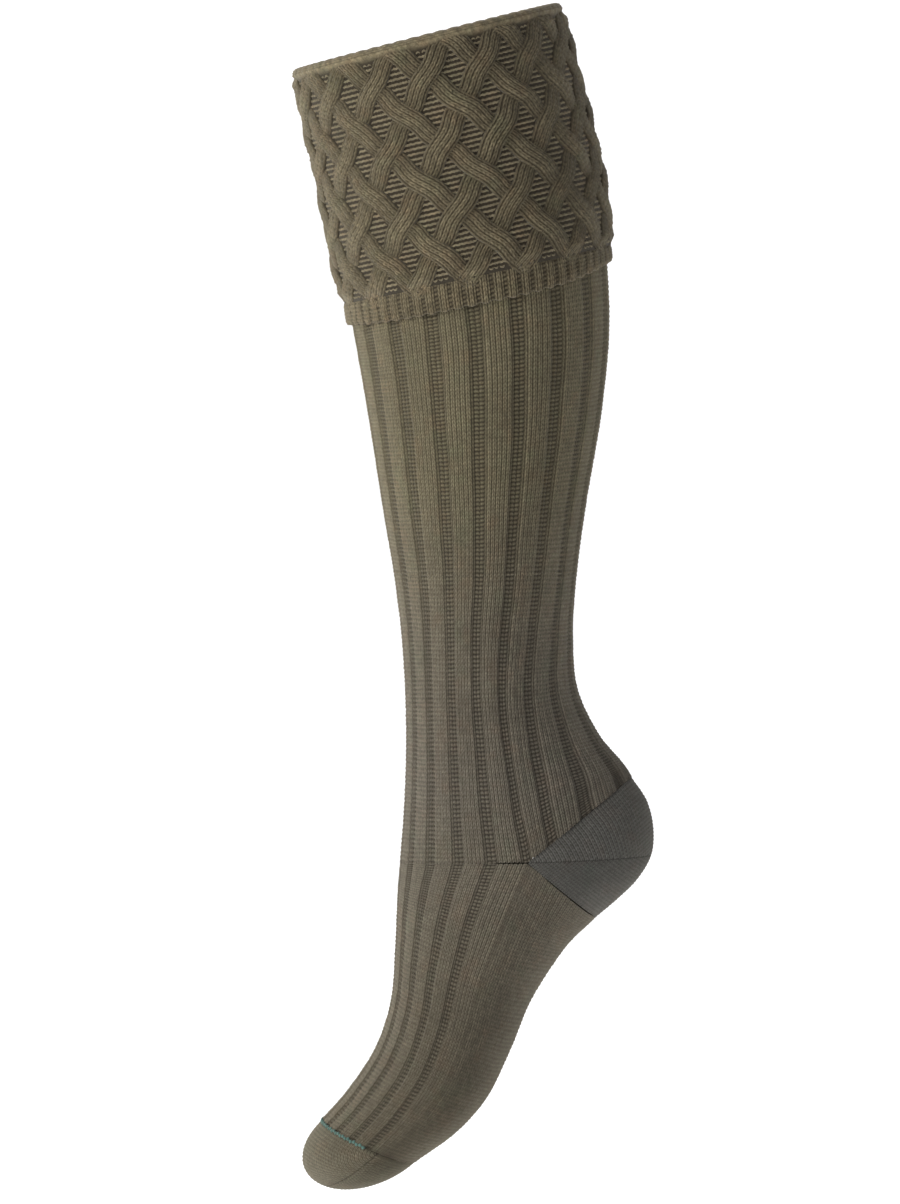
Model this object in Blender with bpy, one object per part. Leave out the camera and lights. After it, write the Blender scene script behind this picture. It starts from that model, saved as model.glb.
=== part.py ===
"""A knee-length knitted shooting sock with a turned-over lattice cuff, as worn.

Metres, +Z up, toe towards -X. The origin is the middle of the sock's mouth, at the top of the fold.
The leg and the foot are rings of knit around a side line. A ring is drawn in profile from its
front over its side to its back, and it is bent at the side where the heel is turned.
"""
import math
from collections import namedtuple

import bmesh
import bpy
import numpy as np

# The leg, from the fold to the level of the heel's side line
LEG_LENGTH = 0.411
CALF_DEPTH = 0.126
CALF_WIDTH = 0.114

# The heel and the foot
HEEL_DEPTH = 0.126
ANKLE_WIDTH = 0.067
FOOT_LENGTH = 0.240
FOOT_WIDTH = 0.084

# The knit of the leg and the foot
WALL = 0.0022
RIB_COUNT = 18
RIB_DEPTH = 0.0012
RIB_TURN = 6.6            # degrees from the shin to the first sunken channel
CHANNEL_SHARE = 0.42      # a channel with its two slopes, of one rib's width
RIBBED_INSTEP = 95.0      # the instep's ribs end this many degrees from the middle of the instep

# The turned-over cuff
CUFF_HEIGHT = 0.121       # from the top of the fold to the hem band
CUFF_CLEARANCE = 0.0005   # between the leg and the layer turned down over it
CUFF_WALL = 0.0023
CABLE_HEIGHT = 0.0024
CABLE_COLUMNS = 15
CABLE_ROWS = 7
CABLE_TURN = 2.5          # degrees from the shin to the first cell
CELL_RIM = 0.50           # a cell's opening and its sunken floor, of its whole diamond
CELL_FLOOR = 0.38
FOLD_DROP = 0.003         # the lattice starts this far below the top of the fold
FOLD_RETURN = 0.009       # how far the fold reaches down on the inside

# The hem band of the cuff
HEM_HEIGHT = 0.0137
HEM_WALL = 0.0026
HEM_RIBS = 60
HEM_RIB_DEPTH = 0.0008
HEM_LIFT_FRONT = 0.003    # the band rides up at the front and the back
HEM_LIFT_BACK = 0.006

# The seam over the toes
SEAM_RADIUS = 0.0008
SEAM_REACH = 84.0         # degrees to each side of the middle of the instep
SEAM_SIDES = 6

GAP = 0.0003              # between neighbouring pieces
HEEL_CLEARANCE = 0.0012   # the heel's ends stand back this far from the corner of leg and foot

# A ring of the leg. Its side's level is a share of the leg's length. The other places, and the
# rises of its front and back over its side, are shares of the depth. The depth and the width change
# from the calf's (ankle 0) to the heel's (ankle 1). Pinch narrows the back, side_wale is the wale at
# the side line in degrees from the shin, and spread moves the wales behind it forward.
LegRow = namedtuple("LegRow", "ankle side_z side_x front_x front_rise back_x back_rise "
                              "width pinch side_wale spread")
LEG_ROWS = [
    LegRow(0.0, 0.0029, -0.016, -0.515, -0.126, 0.483, 0.127, 1.053, 0.00, 90, 0.0),
    LegRow(0.0, -0.0737, 0.045, -0.456, -0.126, 0.547, 0.127, 1.061, 0.00, 90, 0.0),
    LegRow(0.0, -0.1491, 0.106, -0.403, -0.119, 0.613, 0.120, 1.070, 0.00, 90, 0.0),
    LegRow(0.0, -0.2258, 0.155, -0.356, -0.119, 0.665, 0.120, 1.061, 0.00, 90, 0.0),
    LegRow(0.0, -0.2762, 0.183, -0.321, -0.110, 0.687, 0.111, 1.044, 0.00, 90, 0.0),
    LegRow(0.0, -0.3066, 0.195, -0.306, -0.111, 0.697, 0.111, 1.026, 0.00, 90, 0.0),
    LegRow(0.0, -0.3674, 0.214, -0.278, -0.071, 0.706, 0.068, 1.009, 0.00, 90, 0.0),
    LegRow(0.0, -0.4562, 0.222, -0.234, -0.040, 0.679, 0.040, 0.965, 0.04, 90, 0.0),
    LegRow(0.0, -0.5779, 0.218, -0.175, -0.020, 0.611, 0.020, 0.860, 0.08, 90, 0.0),
    LegRow(0.2, -0.6569, 0.218, -0.135, 0.000, 0.575, 0.000, 0.831, 0.15, 91, 0.0),
    LegRow(0.4, -0.7275, 0.224, -0.107, -0.008, 0.563, 0.012, 0.798, 0.28, 94, 0.1),
    LegRow(0.6, -0.7993, 0.248, -0.093, -0.012, 0.583, 0.028, 0.793, 0.38, 98, 0.3),
    LegRow(0.8, -0.8601, 0.282, -0.091, -0.012, 0.663, 0.055, 0.864, 0.40, 101, 0.45),
    LegRow(0.9, -0.9209, 0.325, -0.097, -0.012, 0.757, 0.139, 0.922, 0.36, 104, 0.55),
    LegRow(1.0, -0.9951, 0.385, -0.115, -0.016, 0.798, 0.321, 1.000, 0.30, 106, 0.6),
]

# The back of the heel, from the leg down to the sole, seen from the corner where leg, heel and foot
# meet. Places are shares of the heel's depth.
HeelRow = namedtuple("HeelRow", "back_x back_z pinch")
HEEL_ROWS = [
    HeelRow(0.413, 0.321, 0.30),
    HeelRow(0.477, 0.223, 0.24),
    HeelRow(0.502, 0.115, 0.18),
    HeelRow(0.494, 0.010, 0.14),
    HeelRow(0.440, -0.085, 0.12),
    HeelRow(0.359, -0.166, 0.10),
    HeelRow(0.274, -0.238, 0.08),
]

# A ring of the foot, from the same corner towards the toe. Places are shares of the foot's length.
FootRow = namedtuple("FootRow", "front_x front_z side_x side_z back_x back_z "
                                "width pinch side_wale spread")
FOOT_ROWS = [
    FootRow(-0.269, -0.098, -0.068, -0.163, 0.067, -0.206, 0.810, 0.02, 106, 0.45),
    FootRow(-0.273, -0.192, -0.103, -0.254, 0.010, -0.296, 0.833, 0.00, 106, 0.3),
    FootRow(-0.283, -0.306, -0.136, -0.365, -0.035, -0.404, 0.917, -0.05, 106, 0.2),
    FootRow(-0.317, -0.406, -0.179, -0.465, -0.085, -0.504, 0.988, -0.08, 106, 0.1),
    FootRow(-0.369, -0.485, -0.234, -0.537, -0.144, -0.571, 1.000, -0.05, 104, 0.1),
    FootRow(-0.427, -0.552, -0.310, -0.602, -0.231, -0.635, 0.930, 0.00, 98, 0.0),
]
TOE_TIP = (-0.427, -0.685)   # shares of the foot's length, from the same corner
TOE_ROUNDNESS = 2.0       # 2 is an ellipse, more is blunter

LEG_RINGS = 16
HEEL_RINGS = 8
HEEL_SEGMENTS = 20
FOOT_RINGS = 8
TOE_RINGS = 5
TOE_SEGMENTS = 32
CUFF_RINGS = 8
SEAM_SEGMENTS = 24

WOOL = (0.158, 0.137, 0.098, 1.0)
HEEL_WOOL = (0.128, 0.118, 0.092, 1.0)
SEAM_THREAD = (0.060, 0.110, 0.095, 1.0)
WOOL_ROUGHNESS = 0.95

# A ring: its front, side and back points in profile, its half width and its wales
Section = namedtuple("Section", "front side back half_width pinch side_wale spread")


def mix(first, second, share):
    return first + (second - first) * share


def leg_sections():
    """The leg's rings at their real size."""
    sections = []
    for row in LEG_ROWS:
        depth = mix(CALF_DEPTH, HEEL_DEPTH, row.ankle)
        width = mix(CALF_WIDTH, ANKLE_WIDTH, row.ankle)
        level = row.side_z * LEG_LENGTH
        sections.append(Section(
            np.array((row.front_x * depth, level + row.front_rise * depth)),
            np.array((row.side_x * depth, level)),
            np.array((row.back_x * depth, level + row.back_rise * depth)),
            0.5 * row.width * width, row.pinch, row.side_wale, row.spread))
    return sections


def heel_sections(corner_section):
    """The heel's half rings, all through the corner at the side of the ankle."""
    corner = corner_section.side
    sections = []
    for row in HEEL_ROWS:
        back = corner + np.array((row.back_x, row.back_z)) * HEEL_DEPTH
        sections.append(corner_section._replace(back=back, pinch=row.pinch))
    return sections


def foot_sections(corner_section, heel_end):
    """The foot's rings. The first one has the leg's front and the heel's last half ring."""
    corner = corner_section.side
    sections = [corner_section._replace(back=heel_end.back, pinch=heel_end.pinch)]
    for row in FOOT_ROWS:
        sections.append(Section(
            corner + np.array((row.front_x, row.front_z)) * FOOT_LENGTH,
            corner + np.array((row.side_x, row.side_z)) * FOOT_LENGTH,
            corner + np.array((row.back_x, row.back_z)) * FOOT_LENGTH,
            0.5 * row.width * FOOT_WIDTH, row.pinch, row.side_wale, row.spread))
    return sections


def as_numbers(section):
    return np.concatenate((section.front, section.side, section.back, section[3:]))


def as_section(numbers):
    return Section(numbers[0:2], numbers[2:4], numbers[4:6], *numbers[6:])


def distances_along(sections, place):
    """How far each section lies along the line through one of its points."""
    steps = [np.linalg.norm(getattr(b, place) - getattr(a, place))
             for a, b in zip(sections, sections[1:])]
    return np.concatenate(((0.0,), np.cumsum(steps)))


def section_at(sections, distances, distance):
    """The section at a distance, on a smooth curve through the given ones."""
    table = np.array([as_numbers(section) for section in sections])
    slopes = np.gradient(table, distances, axis=0)
    index = int(np.clip(np.searchsorted(distances, distance) - 1, 0, len(sections) - 2))
    span = distances[index + 1] - distances[index]
    t = (distance - distances[index]) / span
    start = (1 + 2 * t) * (1 - t) ** 2 * table[index] + t * (1 - t) ** 2 * span * slopes[index]
    end = t ** 2 * (3 - 2 * t) * table[index + 1] + t ** 2 * (t - 1) * span * slopes[index + 1]
    return as_section(start + end)


def angle_on_ring(section, wale):
    """The ring's own angle, 90 degrees at its side point, for a wale in degrees from the front."""
    wale = (wale + 180.0) % 360.0 - 180.0
    if abs(wale) <= section.side_wale:
        angle = 90.0 * abs(wale) / section.side_wale
    else:
        share = (180.0 - abs(wale)) / (180.0 - section.side_wale)
        angle = 180.0 - 90.0 * (share + section.spread * share * (1.0 - share))
    return math.copysign(angle, wale)


def point_on_ring(section, angle, rise):
    """A point of a ring, raised off its surface. The near side of the sock is at -Y."""
    turn = math.radians(angle)
    end = section.front if abs(angle) <= 90.0 else section.back
    arm = end - section.side
    reach = arm * (1.0 + rise / np.linalg.norm(arm)) * abs(math.cos(turn))
    narrowing = 1.0 - section.pinch * math.cos(turn) ** 2 if abs(angle) > 90.0 else 1.0
    y = -(section.half_width + rise) * math.sin(turn) * narrowing
    x, z = section.side + reach
    return (x, y, z)


def ring(section, wales, rises):
    return [point_on_ring(section, angle_on_ring(section, wale), rise)
            for wale, rise in zip(wales, rises)]


def join_rows(mesh, rows, closed):
    """Quads between neighbouring rows of vertices, each row running the same way."""
    for upper, lower in zip(rows, rows[1:]):
        count = len(upper)
        for i in range(count if closed else count - 1):
            j = (i + 1) % count
            mesh.faces.new((upper[i], upper[j], lower[j], lower[i]))


def add_object(name, mesh, colour):
    """Close the faces' winding and turn the mesh into a shaded object with its own material."""
    bmesh.ops.triangulate(mesh, faces=mesh.faces[:])
    bmesh.ops.recalc_face_normals(mesh, faces=mesh.faces[:])
    data = bpy.data.meshes.new(name)
    mesh.to_mesh(data)
    mesh.free()
    data.shade_smooth()
    data.set_sharp_from_angle(angle=math.radians(50.0))
    material = bpy.data.materials.new(name)
    material.use_nodes = True
    shader = material.node_tree.nodes["Principled BSDF"]
    shader.inputs["Base Color"].default_value = colour
    shader.inputs["Roughness"].default_value = WOOL_ROUGHNESS
    shader.inputs["Metallic"].default_value = 0.0
    data.materials.append(material)
    thing = bpy.data.objects.new(name, data)
    bpy.context.scene.collection.objects.link(thing)
    return thing


def tube_object(name, outer, inner, colour):
    """A wall open at both ends, from outer rows and inner rows of the same length."""
    mesh = bmesh.new()
    loop = outer + inner[::-1]
    rows = [[mesh.verts.new(point) for point in row] for row in loop]
    join_rows(mesh, rows + rows[:1], closed=True)
    return add_object(name, mesh, colour)


def rib_wales_and_rises(plain_beyond):
    """Three places for each rib: the channel's floor and the two shoulders of the rib."""
    pitch = 360.0 / RIB_COUNT
    slope = 0.5 * CHANNEL_SHARE * pitch
    wales = []
    rises = []
    for number in range(RIB_COUNT):
        start = RIB_TURN + number * pitch
        from_front = abs((start + 180.0) % 360.0 - 180.0)
        wales += [start, start + slope, start + pitch - slope]
        rises += [-RIB_DEPTH if from_front <= plain_beyond else 0.0, 0.0, 0.0]
    return wales, rises


def leg_tube(sections, distances):
    """The leg, from just under the fold's return down to the corner of the ankle."""
    wales, rises = rib_wales_and_rises(180.0)
    within = [-WALL] * len(wales)
    levels = np.linspace(FOLD_RETURN + GAP, distances[-1], LEG_RINGS)
    rings = [section_at(sections, distances, level) for level in levels]
    outer = [ring(section, wales, rises) for section in rings]
    inner = [ring(section, wales, within) for section in rings]
    return tube_object("leg_tube", outer, inner, WOOL)


def foot_tube(sections):
    """The foot, from the ankle to the toe seam, ribbed over the instep only."""
    distances = distances_along(sections, "side")
    wales, rises = rib_wales_and_rises(RIBBED_INSTEP)
    within = [-WALL] * len(wales)
    rings = [section_at(sections, distances, level)
             for level in np.linspace(0.0, distances[-1], FOOT_RINGS)]
    drop = np.array((0.0, -GAP))
    first = rings[0]
    rings[0] = first._replace(front=first.front + drop, side=first.side + drop,
                              back=first.back + drop)
    outer = [ring(section, wales, rises) for section in rings]
    inner = [ring(section, wales, within) for section in rings]
    return tube_object("foot_tube", outer, inner, WOOL)


def heel_pocket(sections):
    """The heel, half rings that fan out from the corner at each side of the ankle."""
    back_line = distances_along(sections, "back")
    aside = np.array((HEEL_CLEARANCE, 0.0))
    angles = np.linspace(90.0, 270.0, HEEL_SEGMENTS + 1)
    end = math.degrees(HEEL_CLEARANCE / HEEL_DEPTH) * 2.0
    angles[0] += end
    angles[-1] -= end
    mesh = bmesh.new()
    outer = []
    inner = []
    for level in np.linspace(2.0 * GAP, back_line[-1] - 2.0 * GAP, HEEL_RINGS):
        section = section_at(sections, back_line, level)
        section = section._replace(side=section.side + aside)
        for rows, rise in ((outer, 0.0), (inner, -WALL)):
            points = [point_on_ring(section, angle if angle <= 180.0 else angle - 360.0, rise)
                      for angle in angles]
            rows.append([mesh.verts.new(point) for point in points])
    join_rows(mesh, outer + inner[::-1] + outer[:1], closed=False)
    for last in (0, -1):
        edge = [row[last] for row in outer] + [row[last] for row in inner[::-1]]
        half = len(outer)
        for i in range(half - 1):
            quad = (edge[i], edge[i + 1], edge[-i - 2], edge[-i - 1])
            mesh.faces.new(quad)
    return add_object("heel_pocket", mesh, HEEL_WOOL)


def toe_rings(base, tip, inset):
    """Rings that close over the toes to a point."""
    middle = 0.5 * (base.front + base.back)
    axis = tip - middle
    reach = np.linalg.norm(axis)
    axis = axis * (1.0 - inset / reach)
    rings = []
    for number in range(TOE_RINGS):
        along = math.sin(0.5 * math.pi * number / TOE_RINGS)
        size = (1.0 - along ** TOE_ROUNDNESS) ** (1.0 / TOE_ROUNDNESS)
        shift = axis * along
        rings.append(base._replace(
            front=middle + shift + (base.front - middle) * size,
            side=middle + shift + (base.side - middle) * size,
            back=middle + shift + (base.back - middle) * size,
            half_width=base.half_width * size))
    return rings, middle + axis


def toe_cap(base, tip):
    """The toe, from the seam to the tip."""
    onward = (tip - base.side) / np.linalg.norm(tip - base.side) * GAP
    base = base._replace(front=base.front + onward, side=base.side + onward,
                         back=base.back + onward)
    mesh = bmesh.new()
    angles = [360.0 * number / TOE_SEGMENTS - 180.0 for number in range(TOE_SEGMENTS)]
    walls = []
    for rise in (0.0, -WALL):
        rings, pole = toe_rings(base, tip, -rise)
        rows = []
        for number, section in enumerate(rings):
            shrink = rise * math.cos(0.5 * math.pi * number / TOE_RINGS)
            points = [point_on_ring(section, angle, shrink) for angle in angles]
            rows.append([mesh.verts.new(point) for point in points])
        join_rows(mesh, rows, closed=True)
        centre = mesh.verts.new((pole[0], 0.0, pole[1]))
        for i in range(TOE_SEGMENTS):
            mesh.faces.new((rows[-1][i], rows[-1][(i + 1) % TOE_SEGMENTS], centre))
        walls.append(rows)
    join_rows(mesh, [walls[0][0], walls[1][0]], closed=True)
    return add_object("toe_cap", mesh, WOOL)


def toe_seam(base):
    """A raised line of thread over the toes, just off the knit."""
    lift = SEAM_RADIUS + GAP
    mesh = bmesh.new()
    rows = []
    for wale in np.linspace(-SEAM_REACH, SEAM_REACH, SEAM_SEGMENTS + 1):
        angle = angle_on_ring(base, wale)
        centre = np.array(point_on_ring(base, angle, lift))
        outward = centre - np.array(point_on_ring(base, angle, 0.0))
        outward /= np.linalg.norm(outward)
        along = base.back - base.front
        onward = np.array((along[1], 0.0, -along[0])) / np.linalg.norm(along)
        row = []
        for side in range(SEAM_SIDES):
            turn = 2.0 * math.pi * side / SEAM_SIDES
            offset = (outward * math.cos(turn) + onward * math.sin(turn)) * SEAM_RADIUS
            row.append(mesh.verts.new(centre + offset))
        rows.append(row)
    join_rows(mesh, rows, closed=True)
    mesh.faces.new(rows[0])
    mesh.faces.new(rows[-1])
    return add_object("toe_seam", mesh, SEAM_THREAD)


def fold_profile():
    """The fold's section from the lattice over the top to the slot, as (rise, drop) pairs."""
    outside = CUFF_CLEARANCE + CUFF_WALL + 0.5 * CABLE_HEIGHT
    middle = 0.5 * (outside - WALL)
    radius = 0.5 * (outside + WALL)
    arc = [(middle + radius * math.cos(math.radians(turn)),
            FOLD_DROP * (1.0 - math.sin(math.radians(turn)))) for turn in (30, 60, 90, 120, 150, 180)]
    slot_top = FOLD_DROP + 0.5 * (FOLD_RETURN - FOLD_DROP)
    return arc + [(-WALL, FOLD_RETURN), (0.0, FOLD_RETURN), (0.0, slot_top),
                  (CUFF_CLEARANCE, slot_top)]


def turnover_cuff(sections, distances):
    """The fold and the outer layer, whose bands cross around sunken diamond cells."""
    columns = 2 * CABLE_COLUMNS
    step = 360.0 / columns
    pitch = (CUFF_HEIGHT - FOLD_DROP) / CABLE_ROWS
    ground = CUFF_CLEARANCE + CUFF_WALL
    crest = ground + CABLE_HEIGHT
    mesh = bmesh.new()

    def vertex(column, row, rise):
        section = section_at(sections, distances, FOLD_DROP + row * pitch)
        angle = angle_on_ring(section, CABLE_TURN + column * step)
        return mesh.verts.new(point_on_ring(section, angle, rise))

    knots = {}
    for row in range(CABLE_ROWS + 1):
        at_border = row in (0, CABLE_ROWS)
        for column in range(columns):
            crossing = (column + row) % 2 == 0
            if crossing:
                knots[column, row] = vertex(column, row, crest)
            elif at_border:
                knots[column, row] = vertex(column, row, ground)

    for row in range(CABLE_ROWS + 1):
        for column in range(columns):
            if (column + row) % 2 == 0:
                continue
            left = knots[(column - 1) % columns, row]
            right = knots[(column + 1) % columns, row]
            if row in (0, CABLE_ROWS):
                inward = knots[column, 1 if row == 0 else CABLE_ROWS - 1]
                middle = knots[column, row]
                mesh.faces.new((left, middle, inward))
                mesh.faces.new((middle, right, inward))
                continue
            corners = [left, knots[column, row - 1], right, knots[column, row + 1]]
            ways = ((-1, 0), (0, -1), (1, 0), (0, 1))
            rim = [vertex(column + CELL_RIM * x, row + CELL_RIM * y, crest) for x, y in ways]
            floor = [vertex(column + CELL_FLOOR * x, row + CELL_FLOOR * y, ground) for x, y in ways]
            join_rows(mesh, [corners, rim, floor], closed=True)
            mesh.faces.new(floor)

    top = [knots[column, 0] for column in range(columns)]
    bottom = [knots[column, CABLE_ROWS] for column in range(columns)]
    wales = [CABLE_TURN + column * step for column in range(columns)]
    rows = [top]
    profile = fold_profile()
    last_drop = profile[-1][1]
    for drop in np.linspace(last_drop, CUFF_HEIGHT, CUFF_RINGS)[1:]:
        profile.append((CUFF_CLEARANCE, drop))
    for rise, drop in profile:
        section = section_at(sections, distances, drop)
        rows.append([mesh.verts.new(point) for point in ring(section, wales, [rise] * columns)])
    rows.append(bottom)
    join_rows(mesh, rows, closed=True)
    return add_object("turnover_cuff", mesh, WOOL)


def cuff_hem(sections, distances):
    """The ribbed band under the lattice, which rides up at the front and the back."""
    count = 2 * HEM_RIBS
    wales = [CABLE_TURN + 360.0 * number / count for number in range(count)]
    top = CUFF_HEIGHT + GAP
    bottom = CUFF_HEIGHT + HEM_HEIGHT
    crest = CUFF_CLEARANCE + HEM_WALL
    levels = [(CUFF_CLEARANCE, top), (crest, top), (crest + 0.5 * HEM_RIB_DEPTH, 0.5 * (top + bottom)),
              (crest, bottom), (CUFF_CLEARANCE, bottom)]
    mesh = bmesh.new()
    rows = []
    for rise, drop in levels:
        row = []
        for number, wale in enumerate(wales):
            facing = math.cos(math.radians(wale))
            lift = HEM_LIFT_FRONT * max(facing, 0.0) ** 4 + HEM_LIFT_BACK * max(-facing, 0.0) ** 4
            section = section_at(sections, distances, drop - lift * (drop - top) / (bottom - top))
            valley = HEM_RIB_DEPTH if number % 2 and rise > CUFF_CLEARANCE else 0.0
            angle = angle_on_ring(section, wale)
            row.append(mesh.verts.new(point_on_ring(section, angle, rise - valley)))
        rows.append(row)
    join_rows(mesh, rows + rows[:1], closed=True)
    return add_object("cuff_hem", mesh, WOOL)


def main():
    for thing in list(bpy.data.objects):
        bpy.data.objects.remove(thing)
    leg = leg_sections()
    down_leg = distances_along(leg, "side")
    heel = heel_sections(leg[-1])
    foot = foot_sections(leg[-1], heel[-1])
    tip = leg[-1].side + np.array(TOE_TIP) * FOOT_LENGTH
    leg_tube(leg, down_leg)
    heel_pocket(heel)
    foot_tube(foot)
    toe_cap(foot[-1], tip)
    toe_seam(foot[-1])
    turnover_cuff(leg, down_leg)
    cuff_hem(leg, down_leg)


main()
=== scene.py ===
"""Dresses the knitted shooting sock stitch by stitch, and sets its studio.

Every knitted surface is a grid of stitches laid over the same rings as the solid model. A wale is a
column of stitches, a course is a row of them, and a wale is named by its degrees from the shin.
"""

import math
from collections import namedtuple

import bpy
import numpy as np
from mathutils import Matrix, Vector


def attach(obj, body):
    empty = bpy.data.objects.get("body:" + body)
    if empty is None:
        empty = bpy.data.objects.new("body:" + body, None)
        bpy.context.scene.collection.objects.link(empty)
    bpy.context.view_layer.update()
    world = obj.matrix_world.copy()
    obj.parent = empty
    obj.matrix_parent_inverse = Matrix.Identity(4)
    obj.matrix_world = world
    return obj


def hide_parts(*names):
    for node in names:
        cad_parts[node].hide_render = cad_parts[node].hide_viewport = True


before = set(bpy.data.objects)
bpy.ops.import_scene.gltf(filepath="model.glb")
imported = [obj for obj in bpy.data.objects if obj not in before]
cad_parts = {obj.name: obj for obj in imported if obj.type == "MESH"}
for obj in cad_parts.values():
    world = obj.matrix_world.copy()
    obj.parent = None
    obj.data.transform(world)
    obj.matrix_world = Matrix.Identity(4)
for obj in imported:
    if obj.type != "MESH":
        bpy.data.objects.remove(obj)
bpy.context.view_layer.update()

MM = 0.001

# The form, as in the solid model
LEG_LENGTH = 0.411
CALF_DEPTH = 0.126
CALF_WIDTH = 0.114
HEEL_DEPTH = 0.126
ANKLE_WIDTH = 0.067
FOOT_LENGTH = 0.240
FOOT_WIDTH = 0.084
WALL = 0.0022
RIB_COUNT = 18
RIB_TURN = 6.6
RIBBED_INSTEP = 95.0
CUFF_HEIGHT = 0.121
CUFF_CLEARANCE = 0.0005
CUFF_WALL = 0.0023
CABLE_COLUMNS = 15
CABLE_ROWS = 7
CABLE_TURN = 2.5
FOLD_DROP = 0.003
FOLD_RETURN = 0.009
HEM_HEIGHT = 0.0137
HEM_WALL = 0.0026
HEM_RIBS = 60
HEM_LIFT_FRONT = 0.003
HEM_LIFT_BACK = 0.006
SEAM_RADIUS = 0.0008
SEAM_REACH = 84.0
GAP = 0.0003
GROUND = CUFF_CLEARANCE + CUFF_WALL
CABLE_ROW_HEIGHT = (CUFF_HEIGHT - FOLD_DROP) / CABLE_ROWS
TOE_TIP = (-0.427, -0.685)

LegRow = namedtuple("LegRow", "ankle side_z side_x front_x front_rise back_x back_rise "
                              "width pinch side_wale spread")
LEG_ROWS = [
    LegRow(0.0, 0.0029, -0.016, -0.515, -0.126, 0.483, 0.127, 1.053, 0.00, 90, 0.0),
    LegRow(0.0, -0.0737, 0.045, -0.456, -0.126, 0.547, 0.127, 1.061, 0.00, 90, 0.0),
    LegRow(0.0, -0.1491, 0.106, -0.403, -0.119, 0.613, 0.120, 1.070, 0.00, 90, 0.0),
    LegRow(0.0, -0.2258, 0.155, -0.356, -0.119, 0.665, 0.120, 1.061, 0.00, 90, 0.0),
    LegRow(0.0, -0.2762, 0.183, -0.321, -0.110, 0.687, 0.111, 1.044, 0.00, 90, 0.0),
    LegRow(0.0, -0.3066, 0.195, -0.306, -0.111, 0.697, 0.111, 1.026, 0.00, 90, 0.0),
    LegRow(0.0, -0.3674, 0.214, -0.278, -0.071, 0.706, 0.068, 1.009, 0.00, 90, 0.0),
    LegRow(0.0, -0.4562, 0.222, -0.234, -0.040, 0.679, 0.040, 0.965, 0.04, 90, 0.0),
    LegRow(0.0, -0.5779, 0.218, -0.175, -0.020, 0.611, 0.020, 0.860, 0.08, 90, 0.0),
    LegRow(0.2, -0.6569, 0.218, -0.135, 0.000, 0.575, 0.000, 0.831, 0.15, 91, 0.0),
    LegRow(0.4, -0.7275, 0.224, -0.107, -0.008, 0.563, 0.012, 0.798, 0.28, 94, 0.1),
    LegRow(0.6, -0.7993, 0.248, -0.093, -0.012, 0.583, 0.028, 0.793, 0.38, 98, 0.3),
    LegRow(0.8, -0.8601, 0.282, -0.091, -0.012, 0.663, 0.055, 0.864, 0.40, 101, 0.45),
    LegRow(0.9, -0.9209, 0.325, -0.097, -0.012, 0.757, 0.139, 0.922, 0.36, 104, 0.55),
    LegRow(1.0, -0.9951, 0.385, -0.115, -0.016, 0.798, 0.321, 1.000, 0.30, 106, 0.6),
]
HeelRow = namedtuple("HeelRow", "back_x back_z pinch")
HEEL_ROWS = [
    HeelRow(0.413, 0.321, 0.30),
    HeelRow(0.477, 0.223, 0.24),
    HeelRow(0.502, 0.115, 0.18),
    HeelRow(0.494, 0.010, 0.14),
    HeelRow(0.440, -0.085, 0.12),
    HeelRow(0.359, -0.166, 0.10),
    HeelRow(0.274, -0.238, 0.08),
]
FootRow = namedtuple("FootRow", "front_x front_z side_x side_z back_x back_z "
                                "width pinch side_wale spread")
FOOT_ROWS = [
    FootRow(-0.269, -0.098, -0.068, -0.163, 0.067, -0.206, 0.810, 0.02, 106, 0.45),
    FootRow(-0.273, -0.192, -0.103, -0.254, 0.010, -0.296, 0.833, 0.00, 106, 0.3),
    FootRow(-0.283, -0.306, -0.136, -0.365, -0.035, -0.404, 0.917, -0.05, 106, 0.2),
    FootRow(-0.317, -0.406, -0.179, -0.465, -0.085, -0.504, 0.988, -0.08, 106, 0.1),
    FootRow(-0.369, -0.485, -0.234, -0.537, -0.144, -0.571, 1.000, -0.05, 104, 0.1),
    FootRow(-0.427, -0.552, -0.310, -0.602, -0.231, -0.635, 0.930, 0.00, 98, 0.0),
]

# The knit
COLUMNS_A_STITCH = 4
LEG_COURSES = 138
LEG_KNIT_START = 0.1215   # the stitches start under the cuff's hem
LEG_SPLIT = 72            # courses on the upper of the leg's two pieces
PURL_SHARE = 0.135        # half of a channel's two purl wales, of one rib's width
CHANNEL_DEPTH = 1.05 * MM
GROOVE_DEPTH = 0.45 * MM  # the narrow groove at each side of a channel
RIB_CROWN = 0.45 * MM
FOOT_STITCH = 0.8         # stitches lie flatter on the foot, heel and toe than on the leg
HEEL_STITCH = 0.72
TOE_STITCH = 0.66
FOOT_COURSES = 78
HEEL_WALES = 72
TOE_WALES = 66
POCKET_COURSE = 0.0019
CABLE_WALES = 4
CABLE_HALF_WIDTH = 0.0050
CABLE_COURSE = 0.0025
CABLE_STEP = 0.0130       # around the leg from one line of crossings to the next
CABLE_SWAY = 0.35         # the bands run steeper beside the cells than where they cross
BAND_TOP = 0.05           # of a lattice row: above it the bands' corners stay under the fold
BAND_EDGE = (0.55 * MM, 0.65 * MM)    # height of a band's edge, and how far it swings by the weave
BAND_CROWN = (2.1 * MM, 0.95 * MM)
LOOP_WIDTH = 0.00265      # a purl loop in the cells, and the rows of them
LOOP_ROW = 0.00127
LOOP_LIFT = 0.10 * MM

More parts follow.
